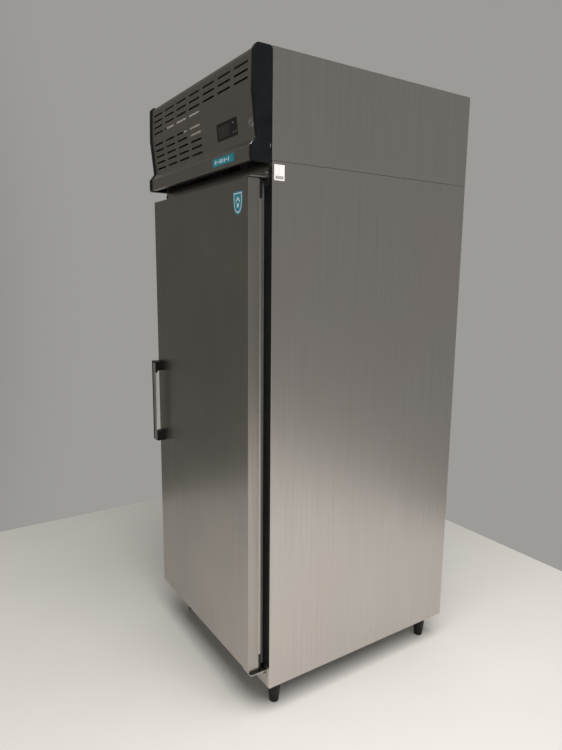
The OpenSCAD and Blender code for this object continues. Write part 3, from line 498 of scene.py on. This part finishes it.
dress(moulded("extruded_black_plastic", "#0f1112", 0.45, 1.2), "breaker_frame")
dress(moulded("moulded_black_nylon", "#0c0e10", 0.5, 1.0), "hinge_bushes")
rounded("hinge_bushes", 0.0008)
frame_low, frame_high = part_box("breaker_frame")
# Painted shade: a black film 0.18 mm thick over the front flange on each side, from the breaker
# frame out to the side panel's edge, where shade lies in the gap beside the door.
flange_shade_film = bmesh.new()
shade_film_reach, shade_film_thick = 0.3542, 0.00018
for side in (-1, 1):
    strip_x = sorted((side * (frame_high[0] + 0.0004), side * shade_film_reach))
    outline = rounded_outline(strip_x[1] - strip_x[0], frame_high[2] - frame_low[2] + 0.05,
                              0.001, 2)
    plate(flange_shade_film, outline, shade_film_thick, facing((sum(strip_x) / 2, frame_low[1],
          (frame_low[2] + frame_high[2]) / 2 + 0.022), (0, -1, 0)))
fitted("frame_edge_painted_shade", flange_shade_film, moulded("painted_shade_film_black", "#08090a", 0.5, 1.2),
       "cabinet")


# Compressor: a pressed steel can, welded round its middle and painted satin black, on a plate
# with rubber mounts. The weld bead is drawn here.
def turned(mesh, profile, place, sides=48):
    """Adds a turned shape: pairs of radius and height, revolved about the place's Z."""
    rings = []
    for radius, height in profile:
        if radius < 1e-6:
            rings.append([mesh.verts.new(place @ Vector((0, 0, height)))])
            continue
        rings.append([mesh.verts.new(place @ Vector((
            radius * math.cos(2 * math.pi * i / sides),
            radius * math.sin(2 * math.pi * i / sides), height))) for i in range(sides)])
    for low, high in zip(rings, rings[1:]):
        for i in range(sides):
            after = (i + 1) % sides
            corners = [low[i % len(low)], low[after % len(low)], high[after % len(high)],
                       high[i % len(high)]]
            seen = []
            for corner in corners:
                if corner not in seen:
                    seen.append(corner)
            mesh.faces.new(seen)


satin_black_paint = moulded("satin_black_paint", "#1d1e20", 0.36, 2.5, 0.15)
dress(satin_black_paint, "compressor")
rounded("compressor", 0.001)
can_low, can_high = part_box("compressor")
can_centre = Vector((0.130, (can_low[1] + can_high[1]) / 2, can_low[2]))
bead = bmesh.new()
turned(bead, [(0.0738, 0.118), (0.0752, 0.1188), (0.0757, 0.1205), (0.0752, 0.1222),
              (0.0738, 0.123)], Matrix.Translation(can_centre))
fitted("compressor_weld_bead", bead, satin_black_paint, "cabinet")


# Condenser: eight double rows of copper tube through aluminium fins, with galvanised end
# plates. The fins are drawn 3 mm apart, which is their true spacing.
def brick(mesh, low, high):
    """Adds a rectangular block between two corners."""
    corners = [mesh.verts.new((x, y, z)) for z in (low[2], high[2]) for y in (low[1], high[1])
               for x in (low[0], high[0])]
    for loop in ((0, 2, 3, 1), (4, 5, 7, 6), (0, 1, 5, 4), (2, 6, 7, 3), (0, 4, 6, 2),
                 (1, 3, 7, 5)):
        mesh.faces.new([corners[i] for i in loop])


def pipe(mesh, points, radius, sides=14):
    """Adds a round tube along a path of points."""
    path = [Vector(p) for p in points]
    side = None
    rings = []
    for i, point in enumerate(path):
        along = (path[min(i + 1, len(path) - 1)] - path[max(i - 1, 0)]).normalized()
        if side is None:
            side = along.orthogonal().normalized()
        side = (side - along * side.dot(along)).normalized()
        other = along.cross(side)
        rings.append([mesh.verts.new(point + radius * (
            side * math.cos(2 * math.pi * k / sides) + other * math.sin(2 * math.pi * k / sides)))
            for k in range(sides)])
    for low, high in zip(rings, rings[1:]):
        for k in range(sides):
            mesh.faces.new((low[k], low[(k + 1) % sides], high[(k + 1) % sides], high[k]))
    mesh.faces.new(rings[-1])
    mesh.faces.new(list(reversed(rings[0])))


# Rolled aluminium foil: a pale soft metal, dull and greyer where dust has settled.
rolled_aluminium = clouded("rolled_aluminium_fins", 100 / 3, 5, "#c9cbcc", "#9c9a94", 0.3, 0.6,
                           Metallic=0.95)
dress(rolled_aluminium, "condenser", "evaporator")
# Drawn copper: warm and bright where it is clean, brown and dull where it has tarnished.
drawn_copper = clouded("drawn_copper_tube", 200 / 9, 5, "#c98a62", "#7d5038", 0.22, 0.5,
                       Metallic=1.0)
dress(drawn_copper, "refrigerant_lines")

coil_low, coil_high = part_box("condenser")
core_low = (coil_low[0] + 0.012, coil_low[1] + 0.004, coil_low[2] + 0.0198)
core_high = (coil_high[0] - 0.012, coil_high[1] - 0.004, coil_high[2] - 0.004)
fins = bmesh.new()
spacing, foil = 0.003, 0.0004
for i in range(int((core_high[0] - core_low[0]) / spacing)):
    x = core_low[0] + spacing * i
    brick(fins, (x, core_low[1], core_low[2]), (x + foil, core_high[1], core_high[2]))
fin_stack = fitted("condenser_fins", fins, rolled_aluminium, "cabinet")
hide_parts("condenser")
end_plates = bmesh.new()
for x in (coil_low[0] + 0.008, coil_high[0] - 0.0095):
    brick(end_plates, (x, coil_low[1], coil_low[2]), (x + 0.0015, coil_high[1], coil_high[2]))
fitted("condenser_end_plates", end_plates, zinc_sheet, "cabinet")
tubes = bmesh.new()
tube_radius, rows_of_tube, bank_inset = 0.004, 8, 0.014
row_step = (core_high[2] - core_low[2]) / rows_of_tube
for y in (core_low[1] + bank_inset, core_high[1] - bank_inset):
    path = []
    for row in range(rows_of_tube):
        z = core_low[2] + row_step * (row + 0.5)
        ends = (coil_low[0] + 0.0045, coil_high[0] - 0.0045)
        first, last = ends if row % 2 == 0 else ends[::-1]
        path.append((first, y, z))
        path.append((last, y, z))
    pipe(tubes, path, tube_radius)
fitted("condenser_tubes", tubes, drawn_copper, "cabinet")


# Fans and shroud: moulded in black glass-filled nylon, slightly glossy. The blades and hub of
# each fan are one moulding, pressed on to the shaft of its motor.
fan_nylon = moulded("glass_filled_nylon", "#1a1c1e", 0.38, 1.5)
dress(fan_nylon, "fan_shroud", "condenser_fan", "evaporator_fan", "evaporator_fan_motor")
rounded("condenser_fan", 0.0006)
rounded("evaporator_fan", 0.0006)


# Electrical box and cable entry: moulded in dark grey polycarbonate with a screwed lid. The nut
# of the gland has twenty ribs for the fingers.
box_grey = moulded("moulded_polycarbonate_grey", "#2b2e32", 0.45, 1.5)
dress(box_grey, "electrical_box", "cable_gland")
rounded("electrical_box", 0.002)
rounded("cable_gland", 0.0006)
gland_low, gland_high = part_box("cable_gland")
gland_x, gland_z = (gland_low[0] + gland_high[0]) / 2, (gland_low[2] + gland_high[2]) / 2
ribs = bmesh.new()
rib_count, rib_circle, rib_radius = 20, 0.0103, 0.0007
rib_start, rib_end = gland_high[1] - 0.0105, gland_high[1] - 0.0015
for i in range(rib_count):
    angle = 2 * math.pi * i / rib_count
    x, z = gland_x + rib_circle * math.cos(angle), gland_z + rib_circle * math.sin(angle)
    pipe(ribs, [(x, rib_start, z), (x, rib_end, z)], rib_radius, 8)
fitted("cable_gland_ribs", ribs, box_grey, "cabinet")


# Cabinet lamp, light switch and its plunger. The lamp is a frosted acrylic cover over a strip
# of diodes, and the switch is white moulded plastic.
# Frosted acrylic: milky white, with a fine grain that spreads every highlight.
frosted_acrylic, tree = new_finish("frosted_acrylic_cover")
place = add(tree, "TexCoord").outputs["Object"]
frost = add(tree, "TexNoise", {"Vector": place, "Scale": 900, "Detail": 2})
skin = add(tree, "Bump", {"Height": frost.outputs["Fac"], "Strength": 0.3,
           "Distance": 0.0002})
cloud = add(tree, "TexNoise", {"Vector": place, "Scale": 35, "Detail": 2})
tone = add(tree, "Mix", {FACTOR: cloud.outputs["Fac"], FIRST: linear("#f3f4f2"),
           SECOND: linear("#dfe3e2")}, data_type="RGBA")
seal(tree, add(tree, "BsdfPrincipled", {"Base Color": tone.outputs[MIXED], "Roughness": 0.35,
     "Subsurface Weight": 0.15, "Normal": skin.outputs[0]}))
dress(frosted_acrylic, "cabinet_lamp")
rounded("cabinet_lamp", 0.002, 3)
dress(moulded("moulded_white_plastic", "#dcdcd6", 0.4, 1.0), "light_switch", "switch_plunger")
rounded("light_switch", 0.0008)
rounded("switch_plunger", 0.0008)


# Racking: uprights and runners folded from bright zinc-plated steel. The runners hook into the
# slots of the uprights and can be moved up and down.
dress(zinc_plated, "uprights", "shelf_runners")
rounded("uprights", 0.0004)
rounded("shelf_runners", 0.0004)


# Hinges: zinc-plated steel brackets above and below the door. Two pan heads with a cross recess
# hold each one to the frame, and its flat leaf reaches forward over the corner of the door.
dress(zinc_plated, "hinge_bracket_top", "hinge_bracket_bottom")
rounded("hinge_bracket_top", 0.0006)
rounded("hinge_bracket_bottom", 0.0006)
hinge_screws = bmesh.new()
for node, above in (("hinge_bracket_top", 1), ("hinge_bracket_bottom", -1)):
    low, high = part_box(node)
    leaf_z = high[2] - 0.009 if above > 0 else low[2] + 0.009
    for x in (high[0] - 0.0285, high[0] - 0.007):
        screw_head(hinge_screws, (x, low[1] + 0.0285, leaf_z), (0, -1, 0), 0.0046, 0.0026)
fitted("hinge_screws", hinge_screws, zinc_plated, "cabinet")
shell_low, shell_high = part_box("door_shell")
hinge_plates = bmesh.new()
leaf_wide, leaf_thick, leaf_corner, leaf_setback = 0.050, 0.0032, 0.006, 0.002
for node, above in (("hinge_bracket_top", 1), ("hinge_bracket_bottom", -1)):
    low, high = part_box(node)
    surface = shell_high[2] + 0.0014 if above > 0 else shell_low[2] - 0.0014 - leaf_thick
    deep = low[1] + 0.0331 - shell_low[1] - leaf_setback
    plate(hinge_plates, rounded_outline(leaf_wide, deep, leaf_corner, 5), leaf_thick,
          Matrix.Translation((high[0] - 0.026, shell_low[1] + leaf_setback + deep / 2,
                              surface)))
bmesh.ops.bevel(hinge_plates, geom=hinge_plates.edges[:], offset=0.0004, segments=2,
                affect="EDGES", clamp_overlap=True)
fitted("hinge_plates", hinge_plates, zinc_plated, "cabinet")


# Fascia: one folded stainless steel sheet with three rows of slots above its bend and six
# shorter rows below it. It swings forward and up on pins in its end caps.
fascia_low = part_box("fascia_sheet")[0]
bend_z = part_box("end_cap_right")[0][2] + 0.170
lip_bends = (bend_z - 0.109, bend_z - 0.131)
# The sheet takes the front steel, whose darker tone is painted shade.
bent("fascia_sheet_folded", "fascia_sheet", [
    (0.0025, lambda a, b: abs(a.z - b.z) < 1e-4 and abs(a.x - b.x) > 0.5
     and min(abs(a.z - z) for z in (bend_z, *lip_bends)) < 0.0016)],
    shaded_front_steel, "fascia")


# Fascia seal: a strip of black closed-cell foam, glued along the front edge of the top cover.
# It closes the gap over the fascia's top.
foam_black = moulded("closed_cell_foam_black", "#0b0b0c", 0.9, 1.4, 0.6)
cover_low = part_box("top_cover")[0]
strip = bmesh.new()
strip_half = 0.338
brick(strip, (-strip_half, cover_low[1] - 0.0046, cover_low[2] - 0.006),
      (strip_half, cover_low[1] - 0.0001, cover_low[2] + 0.0132))
bmesh.ops.bevel(strip, geom=strip.edges[:], offset=0.001, segments=2, affect="EDGES")
fitted("fascia_top_seal", strip, foam_black, "cabinet")


# Backing plates: two thin pale plates set inside the sheet, which show through some of the slots
# left of the middle.
pale_backing_finish = moulded("pale_backing_plate_finish", "#d9d2cb", 0.7, 3.0)
backing_thick = 0.0004
behind = -(0.0012 + 0.0005)   # the sheet's thickness and a gap
face = fascia_low[1] + 0.005
upper_backing = bmesh.new()
plate(upper_backing, [(-0.214, -0.005), (0.020, -0.005), (0.045, 0.009), (-0.150, 0.009),
      (-0.214, 0.005)], backing_thick, facing((0, face - behind + backing_thick, bend_z + 0.0155),
      (0, -1, 0)))
fitted("pale_backing_upper", upper_backing, pale_backing_finish, "fascia")
lower_backing = bmesh.new()
slope = math.radians(6.28)
slope_out = Vector((0, -math.cos(slope), -math.sin(slope)))
slope_up = Vector((0, -math.sin(slope), math.cos(slope)))
plate(lower_backing, [(-0.085, -0.022), (-0.042, -0.045), (0.045, -0.045), (0.045, -0.012),
      (-0.085, -0.012)], backing_thick, facing(Vector((0, face, bend_z)) + slope_out * (
          behind - backing_thick), slope_out, slope_up))
fitted("pale_backing_lower", lower_backing, pale_backing_finish, "fascia")


# End caps: two black mouldings with a fine etched face and a slight blue cast, each pressed
# over the end of the fascia sheet. A small spring clip is let into the right one at the back.
cap_black = moulded("moulded_cap_plastic", "#04080d", 0.22, 1.1, 0.1, 0.3)
dress(cap_black, "end_cap_left", "end_cap_right")
rounded("end_cap_left", 0.0012, 3)
rounded("end_cap_right", 0.0012, 3)
cap_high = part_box("end_cap_right")[1]
clip = bmesh.new()
clip_x, clip_y = cap_high[0] - 0.0014, cap_high[1] - 0.0034
clip_top = fascia_low[2] + 0.044
clip_path = [(clip_x, clip_y, clip_top - 0.018), (clip_x, clip_y - 0.001, clip_top - 0.012),
             (clip_x, clip_y, clip_top - 0.006)]
for step in range(9):
    turn = math.pi * step / 8
    clip_path.append((clip_x, clip_y - 0.0022 + 0.0022 * math.cos(turn),
                      clip_top - 0.003 + 0.0026 * math.sin(turn)))
pipe(clip, clip_path, 0.0014, 12)
# Spring steel, tumbled bright: nearly white, with sharp highlights.
bright_steel = clouded("bright_spring_steel", 10 / 3, 2, "#e2e2e2", "#c6c6c8", 0.12, 0.32,
                       Metallic=1.0)
fitted("cap_spring_clip", clip, bright_steel, "fascia")


# Controller: a black moulded housing behind the sheet, a smoked lens in front of
# three seven-segment digits that are switched off, and three small rubber keys.
def on_slope(node, lift):
    """A place on the sloping face over the middle of a node, lifted off its front."""
    low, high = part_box(node)
    top_front = Vector(((low[0] + high[0]) / 2, low[1], high[2]))
    half = (high[2] - low[2]) / 2 / math.cos(slope)
    return facing(top_front - slope_up * half + slope_out * lift, slope_out, slope_up)


dress(moulded("moulded_housing_plastic", "#101113", 0.3, 1.0), "controller")
rounded("controller", 0.0005)
# Smoked acrylic: almost black with a brown cast, glossy, with faint smudges.
smoked_lens = clouded("smoked_acrylic_lens", 50 / 3, 3, "#17100f", "#241a19", 0.08, 0.22,
                      Coat_Weight=0.5)
dress(smoked_lens, "display_lens")
rounded("display_lens", 0.0006)
dead_digit = moulded("unlit_display_segment", "#3f3e3d", 0.4, 0.8)
digits = bmesh.new()
lens_place = on_slope("display_lens", 0.0001)
seg_long, seg_wide, seg_gap, seg_thick = 0.0085, 0.0017, 0.0004, 0.00006
tip, half_wide = seg_long / 2, seg_wide / 2
segment = [(-tip, 0), (half_wide - tip, half_wide), (tip - half_wide, half_wide), (tip, 0),
           (tip - half_wide, -half_wide), (half_wide - tip, -half_wide)]
pitch = seg_long + 2 * seg_gap
for digit in (-1, 0, 1):
    centre_x = digit * 0.0165 - 0.004
    for level in (-1, 0, 1):
        plate(digits, [(centre_x + x, level * pitch + y) for x, y in segment], seg_thick,
              lens_place)
        if level < 1:
            for side in (-1, 1):
                plate(digits, [(centre_x + side * (tip + seg_gap) + y,
                      (level + 0.5) * pitch - x) for x, y in segment], seg_thick, lens_place)
fitted("display_digits", digits, dead_digit, "fascia")
dress(moulded("moulded_key_rubber", "#26292b", 0.6, 0.8), "key_set", "key_up", "key_down")
for node in ("key_set", "key_up", "key_down"):
    rounded(node, 0.0009, 3)
ink_thick = 0.00005
icon_white = moulded("printed_icon_ink", "#8e8e8b", 0.5, 0.6)
for node, sign in (("key_set", 0), ("key_up", 1), ("key_down", -1)):
    icon = bmesh.new()
    icon_place = on_slope(node, 0.00002)
    if sign:
        plate(icon, [(-0.0022, -0.0014 * sign), (0.0022, -0.0014 * sign), (0, 0.0018 * sign)],
              ink_thick, icon_place)
    else:
        plate(icon, rounded_outline(0.0036, 0.0036, 0.0017), ink_thick, icon_place)
    fitted(node + "_icon", icon, icon_white, node)


# Lock: a chromed die-cast barrel and its slotted cylinder. Under it is a small pale grey
# rectangle, drawn as a thin half-dull film.
# Chrome plate over zinc: a clean mirror, a little rubbed where fingers and keys touch it.
chrome_plate = clouded("chrome_plated_zinc", 50 / 9, 3, "#d8dadb", "#bfc0c1", 0.08, 0.26,
                       Metallic=1.0)
dress(chrome_plate, "lock_barrel", "lock_cylinder")
rounded("lock_barrel", 0.0006)
rounded("lock_cylinder", 0.0003)
# A grey, half-dull film with a slightly fibrous look.
pale_film_finish = clouded("pale_grey_film", 25 / 3, 4, "#8d8880", "#7c776f", 0.35, 0.55)
lock_place = on_slope("lock_barrel", -0.0027)
lock_label = bmesh.new()
plate(lock_label, rounded_outline(0.020, 0.028, 0.002), 0.0001,
      lock_place @ Matrix.Translation((0, -0.0275, 0)))
fitted("lock_label", lock_label, pale_film_finish, "fascia")


# Nameplate: a thin aluminium plate in teal enamel on the lower lip. Its pale raised marks are
# plain bars and blocks that say nothing.
# Stoved enamel: an even teal under a glossy skin that flowed slightly as it was baked.
teal_enamel = clouded("teal_enamel_plate", 100 / 9, 2, "#1d7d92", "#2b8da1", 0.18, 0.3,
                      Coat_Weight=0.3)
dress(teal_enamel, "nameplate")
rounded("nameplate", 0.0003)
pale_enamel = moulded("pale_enamel_mark", "#b9dadf", 0.3, 1.0)
name_low, name_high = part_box("nameplate")
name_place = facing(((name_low[0] + name_high[0]) / 2, name_low[1],
                     (name_low[2] + name_high[2]) / 2), (0, -1, 0))
marks = bmesh.new()
mark_thick, mark_gap = 0.00025, 0.0008
across = -0.050
for wide, tall in ((0.010, 0.011), (0.004, 0.011), (0.012, 0.003), (0.010, 0.011),
                   (0.010, 0.011), (0.004, 0.011), (0.010, 0.011), (0.012, 0.003),
                   (0.008, 0.011)):
    shape = rounded_outline(wide - 0.0025, tall, min(wide, tall) * 0.2, 3)
    plate(marks, [(across + wide / 2 + x, y) for x, y in shape], mark_thick, name_place)
    across += wide + mark_gap
fitted("nameplate_marks", marks, pale_enamel, "fascia")


# Door: a shell folded from one sheet of satin stainless steel, with a 2.5 mm bend round its
# front. Foam is poured behind it and holds it to the liner.
door_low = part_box("door_shell")[0]
# The shell takes the front steel, whose darker tone is painted shade.
bent("door_shell_folded", "door_shell", [
    (0.0025, lambda a, b: max(a.y, b.y) < door_low[1] + 1e-4
     and (a - b).length > 0.1)],
    shaded_front_steel, "door")


# Door liner hem: the liner's edge is rolled back on itself over the foam, which leaves a thin
# bead of steel all round behind the shell. The bead is coloured paler than the liner, as a
# painted highlight along that edge.
hem_low, hem_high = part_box("door_liner")
bush_top = 0.051
hem = bmesh.new()
bead_r = 0.0017
hem_y = hem_low[1] + 0.0006
for side in (-1, 1):
    x = side * (hem_high[0] - bead_r + 0.0002)
    low_z, high_z = hem_low[2] + bead_r, hem_high[2] - bead_r
    if side > 0:
        low_z, high_z = hem_low[2] + bush_top, hem_high[2] - bush_top
    pipe(hem, [(x, hem_y, low_z), (x, hem_y, high_z)], bead_r, 12)
for z in (hem_low[2] + bead_r - 0.0002, hem_high[2] - bead_r + 0.0002):
    pipe(hem, [(hem_low[0] + bead_r, hem_y, z), (hem_high[0] - 0.042, hem_y, z)], bead_r, 12)
# Stainless steel coloured much paler than the sheet: the bright line along the bend is a painted
# highlight on a real rounded bead.
hem_highlight_steel = clouded("stainless_hem_painted_highlight", 40, 3, "#f4f2ee", "#dedbd6", 0.22, 0.38,
                       Metallic=1.0)
fitted("door_liner_hem", hem, hem_highlight_steel, "door")


# Door gasket: grey extruded vinyl with a magnet strip in its flat face and a soft fold behind,
# welded into a frame at mitred corners and pushed into the door's liner.
# Soft vinyl: mid grey with little shine, darker and duller where it has been soiled.
vinyl = clouded("extruded_grey_vinyl", 500 / 11, 4, "#77797a", "#646668", 0.45, 0.62)
seal_low, seal_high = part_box("door_gasket")
root_y, face_y = seal_low[1], seal_high[1]
section = [(0.0004, root_y), (0.0002, root_y + 0.004), (0.0032, root_y + 0.0058),
           (0.0034, root_y + 0.0072), (0.0008, root_y + 0.0088), (0.0010, root_y + 0.0104),
           (0.0002, root_y + 0.0112), (0.0002, face_y - 0.0006), (0.0010, face_y),
           (0.0172, face_y), (0.0178, face_y - 0.0006), (0.0178, root_y + 0.0112),
           (0.0168, root_y + 0.0104), (0.0172, root_y + 0.0088), (0.0166, root_y + 0.0072),
           (0.0168, root_y + 0.0058), (0.0196, root_y + 0.004), (0.0196, root_y)]
gasket = bmesh.new()
corner_rings = []
for sx, sz in ((-1, -1), (1, -1), (1, 1), (-1, 1)):
    x = seal_high[0] if sx > 0 else seal_low[0]
    z = seal_high[2] if sz > 0 else seal_low[2]
    corner_rings.append([gasket.verts.new((x - sx * inset, y, z - sz * inset))
                         for inset, y in section])
for i in range(4):
    here, there = corner_rings[i], corner_rings[(i + 1) % 4]
    for k in range(len(section)):
        after = (k + 1) % len(section)
        gasket.faces.new((here[k], there[k], there[after], here[after]))
gasket_piece = fitted("door_gasket_profile", gasket, vinyl, "door", 30)
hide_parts("door_gasket")


# Door badge: a printed vinyl sticker in the shape of a shield, teal with a white border line
# and plain quarters inside.
def shield(width, height, inset):
    """Points round a shield with a flat top and a curved foot."""
    half, top = width / 2 - inset, height / 2 - inset
    points = [(half, top), (-half, top)]
    for step in range(9):
        fall = step / 8
        points.append((-half * math.cos(fall * math.pi / 2) ** 0.75,
                       height * 0.08 - (height * 0.58 - inset * 1.25) * math.sin(
                           fall * math.pi / 2) ** 1.25))
    right = [(-x, y) for x, y in reversed(points[2:-1])]
    return points + right


badge_place = facing((0.274, door_low[1], 1.512), (0, -1, 0))
film = 0.00012
teal_print = moulded("teal_printed_vinyl", "#2a8ba0", 0.35, 1.5)
white_print = moulded("white_printed_vinyl", "#dfe6e8", 0.35, 1.5)
for name, finish, inset, lift in (("door_badge_edge", teal_print, 0, 0),
                                  ("door_badge_border", white_print, 0.0035, film),
                                  ("door_badge_field", teal_print, 0.0062, 2 * film)):
    layer = bmesh.new()
    plate(layer, shield(0.050, 0.060, inset), film,
          badge_place @ Matrix.Translation((0, 0, lift)))
    fitted(name, layer, finish, "door")
quarters = bmesh.new()
quarter_place = badge_place @ Matrix.Translation((0, 0, 3 * film))
plate(quarters, [(0, 0.0165), (-0.011, 0.006), (-0.011, 0.0005), (0, 0.011), (0.011, 0.0005),
                 (0.011, 0.006)], film, quarter_place)
plate(quarters, [(x, y - 0.006) for x, y in rounded_outline(0.010, 0.010, 0.0015, 3)], film,
      quarter_place)
fitted("door_badge_mark", quarters, white_print, "door")


# Handle: an open pull, moulded in black plastic with two end pieces screwed to the door from
# inside, and a strip of brushed stainless steel set into its front.
dress(moulded("moulded_handle_plastic", "#030405", 0.36, 0.9, 0.2, 0.25), "handle_frame")
rounded("handle_frame", 0.0012, 3)
grip_steel = satin_stainless("brushed_stainless_grip", "#e6e4e0", "#d6d3ce", 0.28, 0.5)
dress(grip_steel, "handle_grip")
rounded("handle_grip", 0.0004)
frame_low, frame_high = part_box("handle_frame")
edge_x, front_y, end_piece = frame_high[0], frame_low[1], 0.040
# The steel's rolled edge, seen from above: it follows the front corner and turns in behind it.
wrap_section = [(-0.0034, 0.0003), (-0.0024, 0.0006), (-0.0008, 0.0013), (0.0001, 0.0026),
                (0.0001, 0.0036), (-0.0004, 0.0036), (-0.0005, 0.0030), (-0.0014, 0.0019),
                (-0.0026, 0.0012), (-0.0034, 0.0009)]
wrap = bmesh.new()
ends = [[wrap.verts.new((edge_x + x, front_y + y, z)) for x, y in wrap_section]
        for z in (frame_low[2] + end_piece, frame_high[2] - end_piece)]
for k in range(len(wrap_section)):
    after = (k + 1) % len(wrap_section)
    wrap.faces.new((ends[0][k], ends[0][after], ends[1][after], ends[1][k]))
wrap.faces.new(ends[0])
wrap.faces.new(list(reversed(ends[1])))
fitted("handle_grip_edge", wrap, grip_steel, "door")


# Shelves: grids of steel wire, welded at every crossing and then nickel plated. They rest
# loose on the runners and slide out.
# Nickel plate on drawn wire: a warm pale metal with soft streaky highlights.
nickel_wire = clouded("nickel_plated_wire", 50 / 3, 3, "#cfccc5", "#b3afa6", 0.18, 0.34,
                      Metallic=1.0)
dress(nickel_wire, "shelf_lower", "shelf_middle", "shelf_upper")


# Feet: tapered black nylon sleeves over threaded steel stems. Each is screwed into a socket in
# the base panel, which sets the cabinet level.
feet = ("foot_front_left", "foot_front_right", "foot_rear_left", "foot_rear_right")
dress(moulded("moulded_foot_nylon", "#08090a", 0.45, 1.4, 0.4, 0.3), *feet)
for node in feet:
    rounded(node, 0.0008)
